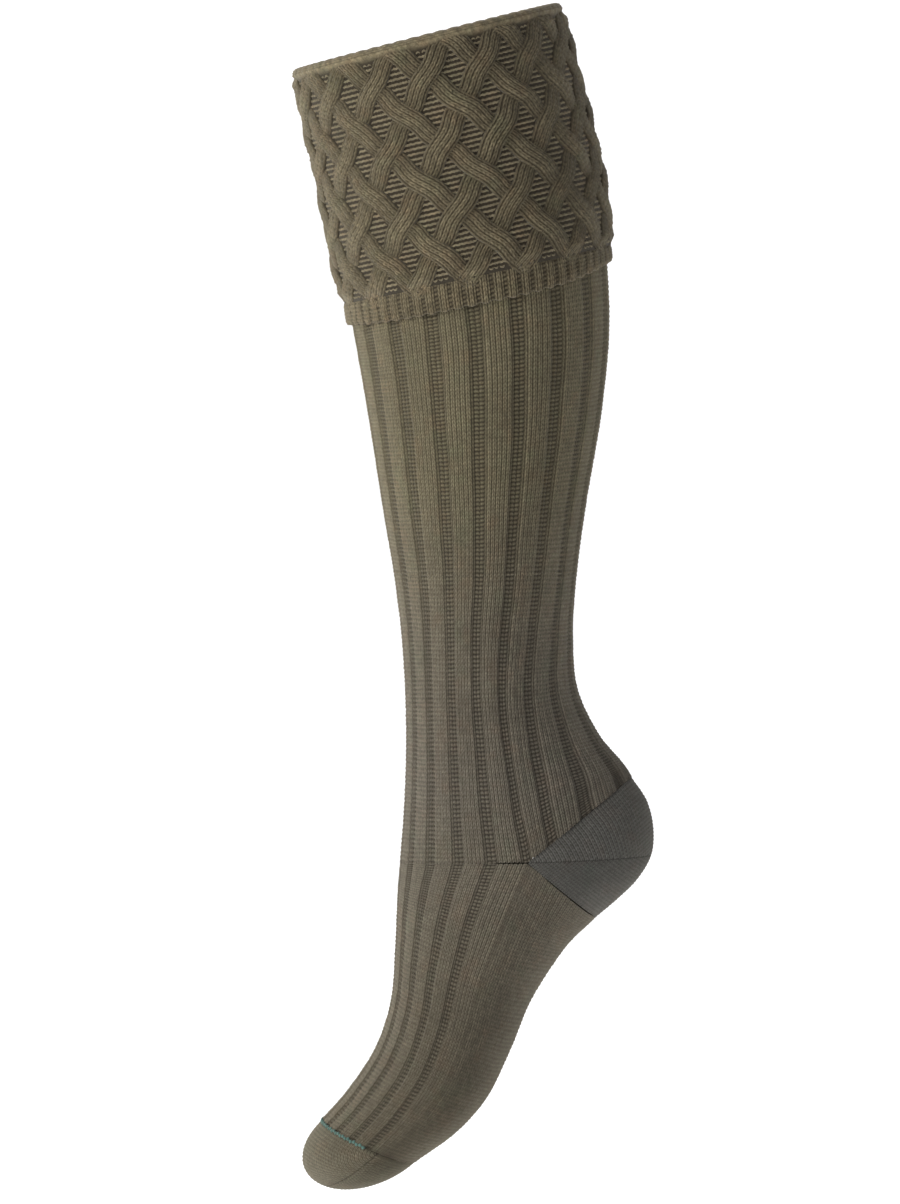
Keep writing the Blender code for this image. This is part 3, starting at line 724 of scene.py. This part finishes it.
def purl_loop_tree():
    """Geometry Nodes: a bent, tapered loop of yarn on every point."""
    tree = bpy.data.node_groups.new("purl_loops", "GeometryNodeTree")
    face = tree.interface
    face.new_socket("Geometry", in_out="INPUT", socket_type="NodeSocketGeometry")
    for name, value in (("Loop width", LOOP_WIDTH), ("Yarn radius", 0.00052), ("Bend", 0.0006)):
        socket = face.new_socket(name, in_out="INPUT", socket_type="NodeSocketFloat")
        socket.default_value = value
    face.new_socket("Wool", in_out="INPUT", socket_type="NodeSocketMaterial")
    face.new_socket("Geometry", in_out="OUTPUT", socket_type="NodeSocketGeometry")
    nodes = tree.nodes
    link = tree.links.new
    entry = nodes.new("NodeGroupInput")
    leave = nodes.new("NodeGroupOutput")
    ends = []
    for share in (-0.5, 0.5):
        joint = nodes.new("ShaderNodeCombineXYZ")
        link(math_node(tree, "MULTIPLY", entry.outputs["Loop width"], share), joint.inputs["X"])
        ends.append(joint.outputs[0])
    crown = nodes.new("ShaderNodeCombineXYZ")
    link(math_node(tree, "MULTIPLY", entry.outputs["Bend"], 2.0), crown.inputs["Y"])
    arc = nodes.new("GeometryNodeCurveQuadraticBezier")
    arc.inputs["Resolution"].default_value = 4
    for label, point in (("Start", ends[0]), ("Middle", crown.outputs[0]), ("End", ends[1])):
        link(point, arc.inputs[label])
    along = nodes.new("GeometryNodeSplineParameter")
    half_turn = math_node(tree, "MULTIPLY", along.outputs["Factor"], math.pi)
    thick = ranged(tree, math_node(tree, "SINE", half_turn), 0.0, 1.0, 0.35, 1.0)
    profile = nodes.new("GeometryNodeCurvePrimitiveCircle")
    profile.inputs["Resolution"].default_value = 4
    link(entry.outputs["Yarn radius"], profile.inputs["Radius"])
    sweep = nodes.new("GeometryNodeCurveToMesh")
    sweep.inputs["Fill Caps"].default_value = True
    link(arc.outputs["Curve"], sweep.inputs["Curve"])
    link(profile.outputs["Curve"], sweep.inputs["Profile Curve"])
    link(thick, sweep.inputs["Scale"])
    ways = []
    for name in ("facing", "lying"):
        way = nodes.new("GeometryNodeInputNamedAttribute")
        way.data_type = "FLOAT_VECTOR"
        way.inputs["Name"].default_value = name
        ways.append(way.outputs["Attribute"])
    up = nodes.new("FunctionNodeAlignRotationToVector")
    up.axis = "Z"
    link(ways[0], up.inputs["Vector"])
    turn = nodes.new("FunctionNodeAlignRotationToVector")
    turn.axis = "X"
    turn.pivot_axis = "Z"
    link(up.outputs[0], turn.inputs["Rotation"])
    link(ways[1], turn.inputs["Vector"])
    spread = nodes.new("FunctionNodeRandomValue")
    spread.data_type = "FLOAT"
    spread.inputs[2].default_value = 0.86
    spread.inputs[3].default_value = 1.14
    spread.inputs["Seed"].default_value = 5
    place = nodes.new("GeometryNodeInstanceOnPoints")
    link(entry.outputs["Geometry"], place.inputs["Points"])
    link(sweep.outputs["Mesh"], place.inputs["Instance"])
    link(turn.outputs[0], place.inputs["Rotation"])
    link(spread.outputs[1], place.inputs["Scale"])
    real = nodes.new("GeometryNodeRealizeInstances")
    link(place.outputs["Instances"], real.inputs["Geometry"])
    smooth = nodes.new("GeometryNodeSetShadeSmooth")
    link(real.outputs["Geometry"], smooth.inputs["Geometry"])
    dress = nodes.new("GeometryNodeSetMaterial")
    link(smooth.outputs["Geometry"], dress.inputs["Geometry"])
    link(entry.outputs["Wool"], dress.inputs["Material"])
    link(dress.outputs["Geometry"], leave.inputs["Geometry"])
    return tree


def purl_loops(path, material):
    """Rows of purl loops in the lattice's cells, up to the fold."""
    profile = fold_profile()
    profile = profile[:int(np.argmax(profile[:, 1] < 0.005))]
    steps = np.hypot(np.diff(profile[:, 0]), np.diff(profile[:, 1]))
    run = np.concatenate(((0.0,), np.cumsum(steps)))
    around = 2 * int(round(0.5 * 0.395 / LOOP_WIDTH))
    rows = int(run[-1] / LOOP_ROW)
    places = []
    normals = []
    tangents = []
    for row in range(1, rows):
        along = np.full(around, row * LOOP_ROW)
        wale = (np.arange(around) + 0.5 * (row % 2)) * 360.0 / around
        wale = wale + chance.normal(0.0, 0.12, around)
        rise = np.interp(along, run, profile[:, 0])
        drop = np.interp(along, run, profile[:, 1])
        column = (wale - CABLE_TURN) * CABLE_COLUMNS / 180.0
        level = (drop - FOLD_DROP) / CABLE_ROW_HEIGHT
        right = np.abs((column + cable_run(level) + 1.0) % 2.0 - 1.0)
        left = np.abs((column - cable_run(level) + 1.0) % 2.0 - 1.0)
        slant = np.hypot(band_swerve(level), CABLE_ROW_HEIGHT)
        half_width = CABLE_HALF_WIDTH * slant / (CABLE_ROW_HEIGHT * CABLE_STEP)
        keep = (np.minimum(right, left) > half_width - 0.06) & (drop < CUFF_HEIGHT - 0.001)
        rise = rise + fold_lobes(wale, drop) + LOOP_LIFT
        spot = on_knit(path, drop, wale, rise)
        ahead = on_knit(path, drop, wale + 0.5, rise) - spot
        climb = np.interp(along + 0.0004, run, profile[:, 0]) - np.interp(along, run, profile[:, 0])
        other_drop = np.interp(along + 0.0004, run, profile[:, 1])
        up = on_knit(path, other_drop, wale, rise + climb) - spot
        normal = np.cross(ahead, up)
        normal /= np.linalg.norm(normal, axis=1)[:, None]
        ahead /= np.linalg.norm(ahead, axis=1)[:, None]
        places.append(spot[keep])
        normals.append(normal[keep])
        tangents.append(ahead[keep] * (1.0 if row % 2 else -1.0))
    places = np.concatenate(places)
    mesh = bpy.data.meshes.new("purl_loops")
    mesh.vertices.add(len(places))
    mesh.vertices.foreach_set("co", places.astype(np.float32).ravel())
    for name, values in (("facing", normals), ("lying", tangents)):
        layer = mesh.attributes.new(name, "FLOAT_VECTOR", "POINT")
        layer.data.foreach_set("vector", np.concatenate(values).astype(np.float32).ravel())
    points = bpy.data.objects.new("purl_points", mesh)
    bpy.context.scene.collection.objects.link(points)
    modifier = points.modifiers.new("purl_loops", "NODES")
    modifier.node_group = purl_loop_tree()
    sockets = {item.name: item.identifier for item in modifier.node_group.interface.items_tree
               if item.in_out == "INPUT"}
    modifier[sockets["Loop width"]] = LOOP_WIDTH * 0.86
    modifier[sockets["Yarn radius"]] = 0.00046
    modifier[sockets["Bend"]] = 0.0007
    modifier[sockets["Wool"]] = material
    made = bpy.data.meshes.new_from_object(
        points.evaluated_get(bpy.context.evaluated_depsgraph_get()))
    bpy.data.objects.remove(points)
    made.name = "purl_loops"
    uv = made.uv_layers.new(name="knit")
    index = np.empty(len(made.loops), dtype=np.int32)
    made.loops.foreach_get("vertex_index", index)
    number = index // (len(made.vertices) // len(places))
    flat = np.stack((number * 0.5 + 0.25, np.zeros(len(number))), axis=-1)
    uv.data.foreach_set("uv", flat.astype(np.float32).ravel())
    shade = made.attributes.new("open_to_light", "FLOAT", "POINT")
    shade.data.foreach_set("value", np.full(len(made.vertices), 0.82, dtype=np.float32))
    thing = bpy.data.objects.new("purl_loops", made)
    bpy.context.scene.collection.objects.link(thing)
    return thing


def cuff_hem(path, material):
    """The narrow ribbed band: two knit wales to a rib, with a purl wale between the ribs."""
    spans = []
    pitch = 360.0 / HEM_RIBS
    for number in range(HEM_RIBS):
        start = CABLE_TURN + number * pitch
        spans.append((start - 0.36 * pitch, start + 0.36 * pitch, 2, False))
        spans.append((start + 0.36 * pitch, start + 0.64 * pitch, 1, True))
    wales = wales_from(spans)
    top = CUFF_HEIGHT + GAP
    bottom = CUFF_HEIGHT + HEM_HEIGHT
    courses = 6
    halves = np.arange(2 * courses + 1)
    rises, open_to_light = stitch_rises(wales, halves)
    leans = np.where(wales.purl, PURL_LEAN[wales.slot], KNIT_LEAN[wales.slot])
    share = (halves[:, None] * 0.5 + leans[None, :]) / courses
    share = np.clip(share, 0.0, 1.0)
    share[0] = 0.0
    share[-1] = 1.0
    facing = np.cos(np.radians(wales.degrees))
    lift = (HEM_LIFT_FRONT * np.maximum(facing, 0.0) ** 4
            + HEM_LIFT_BACK * np.maximum(-facing, 0.0) ** 4)
    off = np.abs((wales.degrees - CABLE_TURN + 0.5 * pitch) % pitch - 0.5 * pitch) / (0.5 * pitch)
    rib = (0.55 * smooth_step(-off, -0.85, -0.45) - 0.45) * MM
    swell = np.sin(np.pi * np.clip(share, 0, 1)) * 0.25 * MM
    # Painted shade: the purl furrows between the hem's ribs are made darker.
    open_to_light = open_to_light * (0.50 + 0.50 * smooth_step(-off, -0.85, -0.45))
    outer = CUFF_CLEARANCE + HEM_WALL + rib[None, :] + rises * 1.2 + swell
    outer = outer + uneven(halves, len(wales.degrees), 0.10 * MM)
    outer[-1] -= 0.5 * MM
    outer[0] -= 0.3 * MM
    scallop = 0.5 * MM * np.cos(np.pi * off)
    drop = top + (bottom - top - lift[None, :] + scallop[None, :] * share) * share
    grid = on_knit(path, drop, wales.degrees[None, :], outer)
    rim_low = on_knit(path, drop[-1] + 0.3 * MM, wales.degrees, CUFF_CLEARANCE + 0.9 * MM)
    low = on_knit(path, drop[-1] - 0.1 * MM, wales.degrees, CUFF_CLEARANCE)
    high = on_knit(path, drop[0], wales.degrees, CUFF_CLEARANCE)
    rows = np.concatenate((grid, rim_low[None], low[None], high[None]))
    columns = len(wales.degrees)
    shade = np.concatenate((open_to_light, np.full((3, columns), 0.15)))
    course = np.concatenate((share * courses, np.zeros((3, columns))))
    knit = np.stack((np.broadcast_to(wales.number, course.shape), course), axis=-1)
    faces = grid_faces(len(rows), columns, around=True, down=True)
    return add_mesh("hem_ribs", rows.reshape(-1, 3), [faces], knit.reshape(-1, 2),
                    shade.ravel(), material)


def linked_seam(base, material):
    """The linked seam over the toes: a chain of small slanting loops."""
    stations = 480
    sides = 8
    wales = np.linspace(-SEAM_REACH, SEAM_REACH, stations)
    rings = np.tile(base, (stations, 1))
    turns = ring_turns(rings, wales)
    spine = on_rings(rings, turns, np.full(stations, 0.45 * MM))
    outward = spine - on_rings(rings, turns, np.zeros(stations))
    outward /= np.linalg.norm(outward, axis=1)[:, None]
    along = base[4:6] - base[0:2]
    onward = np.array((along[1], 0.0, -along[0])) / np.linalg.norm(along)
    run = np.concatenate(((0.0,), np.cumsum(np.linalg.norm(np.diff(spine, axis=0), axis=1))))
    phase = np.pi * run / 0.0019
    swell = 0.45 + 0.55 * np.abs(np.sin(phase))
    sway = 0.30 * MM * np.sin(phase)
    angle = np.linspace(0.0, 2.0 * np.pi, sides, endpoint=False)
    ring = (outward[:, None] * np.cos(angle)[None, :, None] * 0.75
            + onward[None, None] * np.sin(angle)[None, :, None] * 1.15)
    points = (spine[:, None] + ring * (SEAM_RADIUS * swell)[:, None, None]
              + onward * sway[:, None, None])
    shade = 0.25 + 0.75 * np.broadcast_to((swell - 0.45)[:, None] / 0.55, points.shape[:2])
    knit = np.stack(np.broadcast_arrays(np.arange(sides)[None, :] / 4.0,
                                        (run / 0.0019)[:, None]), axis=-1)
    faces = grid_faces(stations, sides, around=True, down=False)[:, ::-1]
    caps = []
    for rim, flip in ((np.arange(sides), True), (np.arange(sides) + (stations - 1) * sides, False)):
        fan = [(rim[0], rim[k], rim[k + 1]) for k in range(1, sides - 1)]
        caps.append(np.array([tri[::-1] for tri in fan] if flip else fan))
    return add_mesh("linked_seam", points.reshape(-1, 3), [faces, *caps], knit.reshape(-1, 2),
                    shade.ravel(), material)


def shader_group(name, inputs, outputs):
    tree = bpy.data.node_groups.new(name, "ShaderNodeTree")
    for label, kind, value in inputs:
        socket = tree.interface.new_socket(label, in_out="INPUT", socket_type=kind)
        if value is not None:
            socket.default_value = value
    for label, kind in outputs:
        tree.interface.new_socket(label, in_out="OUTPUT", socket_type=kind)
    return tree, tree.nodes.new("NodeGroupInput"), tree.nodes.new("NodeGroupOutput")


def math_node(tree, operation, first, second=None):
    node = tree.nodes.new("ShaderNodeMath")
    node.operation = operation
    for socket, value in zip(node.inputs, (first, second)):
        if value is None:
            continue
        if isinstance(value, (int, float)):
            socket.default_value = value
        else:
            tree.links.new(value, socket)
    return node.outputs[0]


def mixed_colour(tree, first, second, share, blend="MIX"):
    node = tree.nodes.new("ShaderNodeMix")
    node.data_type = "RGBA"
    node.blend_type = blend
    for number, value in ((0, share), (6, first), (7, second)):
        socket = node.inputs[number]
        if isinstance(value, (float, tuple)):
            socket.default_value = value
        else:
            tree.links.new(value, socket)
    return node.outputs[2]


def noise_value(tree, vector, scale, detail, roughness):
    node = tree.nodes.new("ShaderNodeTexNoise")
    node.inputs["Scale"].default_value = scale
    node.inputs["Detail"].default_value = detail
    node.inputs["Roughness"].default_value = roughness
    tree.links.new(vector, node.inputs["Vector"])
    return node.outputs["Fac"]


def ranged(tree, value, low, high, to_low, to_high):
    node = tree.nodes.new("ShaderNodeMapRange")
    tree.links.new(value, node.inputs["Value"])
    for label, number in (("From Min", low), ("From Max", high),
                          ("To Min", to_low), ("To Max", to_high)):
        node.inputs[label].default_value = number
    return node.outputs["Result"]


def heather_group():
    """Carded wool: two yarn colours that change by the stitch, flecks, and painted shade that
    darkens the stitches' hollows by how little light they are open to.
    """
    tree, entry, leave = shader_group(
        "heathered_wool",
        (("Coordinates", "NodeSocketVector", None),
         ("Stitch coordinates", "NodeSocketVector", None),
         ("Yarn", "NodeSocketColor", (0.2, 0.2, 0.2, 1)),
         ("Second fibre", "NodeSocketColor", (0.2, 0.2, 0.2, 1)),
         ("Painted shade", "NodeSocketColor", (0.02, 0.02, 0.02, 1)),
         ("Open to light", "NodeSocketFloat", 1.0), ("Unevenness", "NodeSocketFloat", 0.25)),
        (("Colour", "NodeSocketColor"),))
    where = entry.outputs["Coordinates"]
    legs = tree.nodes.new("ShaderNodeVectorMath")
    legs.operation = "MULTIPLY_ADD"
    legs.inputs[1].default_value = (2.0, 1.0, 1.0)
    legs.inputs[2].default_value = (0.001, 0.5, 0.0)
    tree.links.new(entry.outputs["Stitch coordinates"], legs.inputs[0])
    whole = tree.nodes.new("ShaderNodeVectorMath")
    whole.operation = "FLOOR"
    tree.links.new(legs.outputs[0], whole.inputs[0])
    lot = tree.nodes.new("ShaderNodeTexWhiteNoise")
    lot.noise_dimensions = "3D"
    tree.links.new(whole.outputs[0], lot.inputs["Vector"])
    blend = ranged(tree, noise_value(tree, where, 300.0, 3.0, 0.65), 0.38, 0.62, 0.0, 1.0)
    blend = math_node(tree, "ADD", math_node(tree, "MULTIPLY", blend, 0.6),
                      math_node(tree, "MULTIPLY", lot.outputs["Value"], 0.4))
    colour = mixed_colour(tree, entry.outputs["Yarn"], entry.outputs["Second fibre"], blend)
    red = ranged(tree, noise_value(tree, where, 95.0, 2.0, 0.6), 0.52, 0.72, 0.0, 0.45)
    colour = mixed_colour(tree, colour, (1.16, 0.96, 0.90, 1.0), red, "MULTIPLY")
    green = ranged(tree, noise_value(tree, where, 70.0, 2.0, 0.6), 0.30, 0.46, 0.45, 0.0)
    colour = mixed_colour(tree, colour, (0.88, 1.03, 0.95, 1.0), green, "MULTIPLY")
    grain = ranged(tree, noise_value(tree, where, 1300.0, 2.0, 0.7), 0.3, 0.7, 0.72, 1.28)
    patch = ranged(tree, noise_value(tree, where, 38.0, 2.0, 0.5), 0.3, 0.7, 0.92, 1.08)
    swing = math_node(tree, "SUBTRACT", lot.outputs["Value"], 0.5)
    swing = math_node(tree, "MULTIPLY", swing, entry.outputs["Unevenness"])
    bright = math_node(tree, "MULTIPLY", math_node(tree, "MULTIPLY", grain, patch),
                       math_node(tree, "ADD", swing, 1.0))
    tint = tree.nodes.new("ShaderNodeCombineColor")
    for socket in tint.inputs[:3]:
        tree.links.new(bright, socket)
    colour = mixed_colour(tree, colour, tint.outputs[0], 1.0, "MULTIPLY")
    # Painted shade: the less open to light a point is, the further its colour goes to the dark
    # shade colour.
    depth = math_node(tree, "SUBTRACT", 1.0, entry.outputs["Open to light"])
    depth = math_node(tree, "MULTIPLY", depth, 0.95)
    colour = mixed_colour(tree, colour, entry.outputs["Painted shade"], depth)
    tree.links.new(colour, leave.inputs["Colour"])
    return tree


def fibre_group():
    """The height of loose fibres, running along the stitches with some straying across."""
    tree, entry, leave = shader_group(
        "loose_fibres",
        (("Stitch coordinates", "NodeSocketVector", None),
         ("Coordinates", "NodeSocketVector", None)),
        (("Height", "NodeSocketFloat"),))
    stretch = tree.nodes.new("ShaderNodeMapping")
    stretch.inputs["Scale"].default_value = (9.0, 2.2, 1.0)
    stretch.inputs["Rotation"].default_value = (0.0, 0.0, 0.35)
    tree.links.new(entry.outputs["Stitch coordinates"], stretch.inputs["Vector"])
    strands = noise_value(tree, stretch.outputs[0], 1.6, 3.0, 0.65)
    stray = noise_value(tree, entry.outputs["Coordinates"], 1900.0, 3.0, 0.7)
    total = math_node(tree, "ADD", math_node(tree, "MULTIPLY", strands, 0.6),
                      math_node(tree, "MULTIPLY", stray, 0.5))
    tree.links.new(total, leave.inputs["Height"])
    return tree


HEATHER = heather_group()
FIBRES = fibre_group()


def wool(name, yarn, second, painted_shade, unevenness, tints_of_light=()):
    """Matte heathered wool, with optional (height, tint) pairs that paint the tint of the light
    down the sock.
    """
    material = bpy.data.materials.new(name)
    material.use_nodes = True
    tree = material.node_tree
    shader = tree.nodes["Principled BSDF"]
    coordinates = tree.nodes.new("ShaderNodeTexCoord")
    stitches = tree.nodes.new("ShaderNodeUVMap")
    stitches.uv_map = "knit"
    # Each point's openness to light, which paints shade into the colour.
    open_to_light = tree.nodes.new("ShaderNodeAttribute")
    open_to_light.attribute_name = "open_to_light"
    heather = tree.nodes.new("ShaderNodeGroup")
    heather.node_tree = HEATHER
    heather.inputs["Yarn"].default_value = (*yarn, 1.0)
    heather.inputs["Second fibre"].default_value = (*second, 1.0)
    heather.inputs["Painted shade"].default_value = (*painted_shade, 1.0)
    tree.links.new(coordinates.outputs["Object"], heather.inputs["Coordinates"])
    tree.links.new(open_to_light.outputs["Fac"], heather.inputs["Open to light"])
    heather.inputs["Unevenness"].default_value = unevenness
    tree.links.new(stitches.outputs["UV"], heather.inputs["Stitch coordinates"])
    colour = heather.outputs["Colour"]
    # Painted light: a tint by height that stands in for the colour of the light down the sock.
    if tints_of_light:
        split = tree.nodes.new("ShaderNodeSeparateXYZ")
        tree.links.new(coordinates.outputs["Object"], split.inputs[0])
        down = ranged(tree, split.outputs["Z"], 0.0, -0.6, 0.0, 1.0)
        ramp = tree.nodes.new("ShaderNodeValToRGB")
        tree.links.new(down, ramp.inputs["Fac"])
        stops = ramp.color_ramp.elements
        while len(stops) < len(tints_of_light):
            stops.new(0.5)
        for stop, (height, tint) in zip(stops, tints_of_light):
            stop.position = -height / 0.6
            stop.color = (*tint, 1.0)
        colour = mixed_colour(tree, colour, ramp.outputs["Color"], 1.0, "MULTIPLY")
    tree.links.new(colour, shader.inputs["Base Color"])
    fibres = tree.nodes.new("ShaderNodeGroup")
    fibres.node_tree = FIBRES
    tree.links.new(stitches.outputs["UV"], fibres.inputs["Stitch coordinates"])
    tree.links.new(coordinates.outputs["Object"], fibres.inputs["Coordinates"])
    bump = tree.nodes.new("ShaderNodeBump")
    bump.inputs["Strength"].default_value = 0.55
    bump.inputs["Distance"].default_value = 0.0004
    tree.links.new(fibres.outputs["Height"], bump.inputs["Height"])
    tree.links.new(bump.outputs["Normal"], shader.inputs["Normal"])
    shader.inputs["Roughness"].default_value = 0.95
    shader.inputs["Specular IOR Level"].default_value = 0.10
    shader.inputs["Sheen Weight"].default_value = 0.22
    shader.inputs["Sheen Roughness"].default_value = 0.6
    shader.inputs["Sheen Tint"].default_value = (0.85, 0.80, 0.68, 1.0)
    return material


def studio():
    """A pale floor that curves up behind, a soft key from the front left and a weaker fill.

    The curve starts more than 4 m back, so that a camera on any side of the sock is before it.
    """
    depth = [(-12.0, -0.64), (4.3, -0.64), (4.7, -0.60), (5.0, -0.45), (5.2, -0.15), (5.3, 0.4),
             (5.3, 6.0)]
    points = [(x, y, z) for x in (-12.0, 12.0) for y, z in depth]
    faces = [(k, k + len(depth), k + len(depth) + 1, k + 1) for k in range(len(depth) - 1)]
    mesh = bpy.data.meshes.new("studio_floor")
    mesh.from_pydata(points, [], faces)
    mesh.shade_smooth()
    floor = bpy.data.objects.new("studio_floor", mesh)
    bpy.context.scene.collection.objects.link(floor)
    paper = bpy.data.materials.new("pale_paper")
    paper.use_nodes = True
    shader = paper.node_tree.nodes["Principled BSDF"]
    shader.inputs["Base Color"].default_value = (0.93, 0.93, 0.93, 1.0)
    shader.inputs["Roughness"].default_value = 0.9
    shader.inputs["Emission Color"].default_value = (1.0, 1.0, 1.0, 1.0)
    shader.inputs["Emission Strength"].default_value = 0.50
    mesh.materials.append(paper)
    world = bpy.context.scene.world or bpy.data.worlds.new("studio")
    bpy.context.scene.world = world
    world.use_nodes = True
    sky = world.node_tree.nodes["Background"]
    sky.inputs["Color"].default_value = (0.94, 0.95, 1.0, 1.0)
    around = world.node_tree.nodes.new("ShaderNodeTexCoord")
    sides = world.node_tree.nodes.new("ShaderNodeSeparateXYZ")
    world.node_tree.links.new(around.outputs["Generated"], sides.inputs[0])
    strength = ranged(world.node_tree, sides.outputs["X"], -0.6, 0.6, 0.62, 0.10)
    ray = world.node_tree.nodes.new("ShaderNodeLightPath")
    seen = ray.outputs["Is Camera Ray"]
    strength = math_node(world.node_tree, "MAXIMUM", strength, seen)
    world.node_tree.links.new(strength, sky.inputs["Strength"])
    for name, place, aim, size, power, colour in (
            ("key", (-2.0, -1.4, 0.6), (0.0, 0.0, -0.28), 1.1, 50.0, (1.0, 0.98, 0.93)),
            ("fill", (0.4, -3.0, 0.3), (0.0, 0.0, -0.28), 1.6, 16.0, (0.97, 0.95, 1.0)),
            ("back", (-0.6, 1.2, 1.6), (0.0, 0.0, -0.28), 1.5, 14.0, (1.0, 1.0, 1.0))):
        data = bpy.data.lights.new(name, "AREA")
        data.size = size
        data.energy = power
        data.color = colour
        lamp = bpy.data.objects.new(name, data)
        lamp.location = place
        bpy.context.scene.collection.objects.link(lamp)
        turn_to(lamp, aim)


def turn_to(thing, aim):
    way = Vector(aim) - thing.location
    thing.rotation_mode = "QUATERNION"
    thing.rotation_quaternion = way.to_track_quat("-Z", "Y")


def camera():
    """Far off and nearly level, as a long lens sees the sock from its side."""
    middle = (0.010, 0.0, -0.281)
    tall = 0.602
    place = (0.010, -4.0, -0.060)
    data = bpy.data.cameras.new("camera")
    data.sensor_width = 36.0
    away = math.dist(place, middle)
    data.lens = 36.0 * away / tall
    data.clip_end = 50.0
    eye = bpy.data.objects.new("camera", data)
    eye.location = place
    bpy.context.scene.collection.objects.link(eye)
    turn_to(eye, middle)
    bpy.context.scene.camera = eye


def dress():
    leg = path_along(leg_table(), SIDE)
    heel = path_along(heel_table(leg.table[-1]), BACK)
    foot = path_along(foot_table(leg.table[-1], heel.table[-1]), SIDE)
    tip = leg.table[-1][SIDE] + np.array(TOE_TIP) * FOOT_LENGTH

    # Painted light: the leg's tint down the sock stands in for the light on it, warmer at the top,
    # bluer about the ankle and a little darker towards the foot.
    painted_light_tints = ((-0.10, (1.00, 1.00, 0.93)), (-0.22, (0.98, 0.98, 0.93)),
                 (-0.30, (0.97, 0.98, 1.10)), (-0.37, (0.93, 0.95, 1.14)),
                 (-0.46, (0.92, 0.93, 1.04)), (-0.57, (0.92, 0.92, 0.98)))
    cuff_wool = wool("cuff_wool", (0.235, 0.200, 0.122), (0.150, 0.122, 0.072),
                     (0.014, 0.010, 0.006), 0.55)
    leg_wool = wool("leg_wool", (0.215, 0.190, 0.122), (0.150, 0.127, 0.084),
                    (0.020, 0.016, 0.010), 0.30, painted_light_tints)
    # Painted shade: the heel's grey colours stand in for the blue-grey shade on that side of the
    # sock; the heel is knitted in the leg's olive yarn.
    heel_wool = wool("heel_wool", (0.140, 0.138, 0.124), (0.098, 0.095, 0.086),
                     (0.022, 0.021, 0.019), 0.15)
    toe_wool = wool("toe_wool", (0.180, 0.162, 0.112), (0.130, 0.114, 0.078),
                    (0.026, 0.022, 0.015), 0.20)
    thread = wool("seam_thread", (0.085, 0.165, 0.140), (0.050, 0.110, 0.095),
                  (0.012, 0.022, 0.020), 0.2)

    wales = leg_wales()
    ribs = rib_relief(wales.degrees, 180.0)
    places = course_places(LEG_KNIT_START, leg.reach[-1], LEG_COURSES, 0.15)
    halves = np.arange(2 * LEG_COURSES + 1)
    upper = knitted_tube("upper_leg", leg, wales, places, halves[:2 * LEG_SPLIT + 1], ribs, 1.0,
                         (FOLD_RETURN + GAP, 0.04, 0.08, 0.116), leg_wool)
    lower = knitted_tube("lower_leg", leg, wales, places, halves[2 * LEG_SPLIT:], ribs, 1.0,
                         (), leg_wool)
    wales = foot_wales()
    ribs = rib_relief(wales.degrees, RIBBED_INSTEP)
    places = course_places(GAP, foot.reach[-1], FOOT_COURSES, -0.05)
    foot_piece = knitted_tube("ribbed_foot", foot, wales, places, np.arange(2 * FOOT_COURSES + 1),
                              ribs, FOOT_STITCH, (), leg_wool)
    heel_piece = knitted_pocket("turned_heel", heel_place(heel), HEEL_WALES, HEEL_STITCH, False,
                                heel_wool)
    toe_piece = knitted_pocket("rounded_toe", toe_place(foot.table[-1], tip), TOE_WALES, TOE_STITCH,
                               True, toe_wool)
    seam = linked_seam(foot.table[-1], thread)
    ground = cuff_ground(leg, cuff_wool)
    bands = cable_bands(leg, cuff_wool)
    loops = purl_loops(leg, cuff_wool)
    hem = cuff_hem(leg, cuff_wool)

    for piece, node, slot in ((upper, "leg_tube", "leg_wool"), (lower, "leg_tube", "leg_wool"),
                              (foot_piece, "foot_tube", "leg_wool"),
                              (heel_piece, "heel_pocket", "heel_wool"),
                              (toe_piece, "toe_cap", "heel_wool"),
                              (seam, "toe_seam", "seam_thread"),
                              (ground, "turnover_cuff", "cuff_wool"),
                              (bands, "turnover_cuff", "cuff_wool"),
                              (loops, "turnover_cuff", "cuff_wool"),
                              (hem, "cuff_hem", "cuff_wool")):
        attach(piece, "root")
        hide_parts(node)


bpy.context.scene.view_settings.view_transform = "Standard"
dress()
studio()
camera()
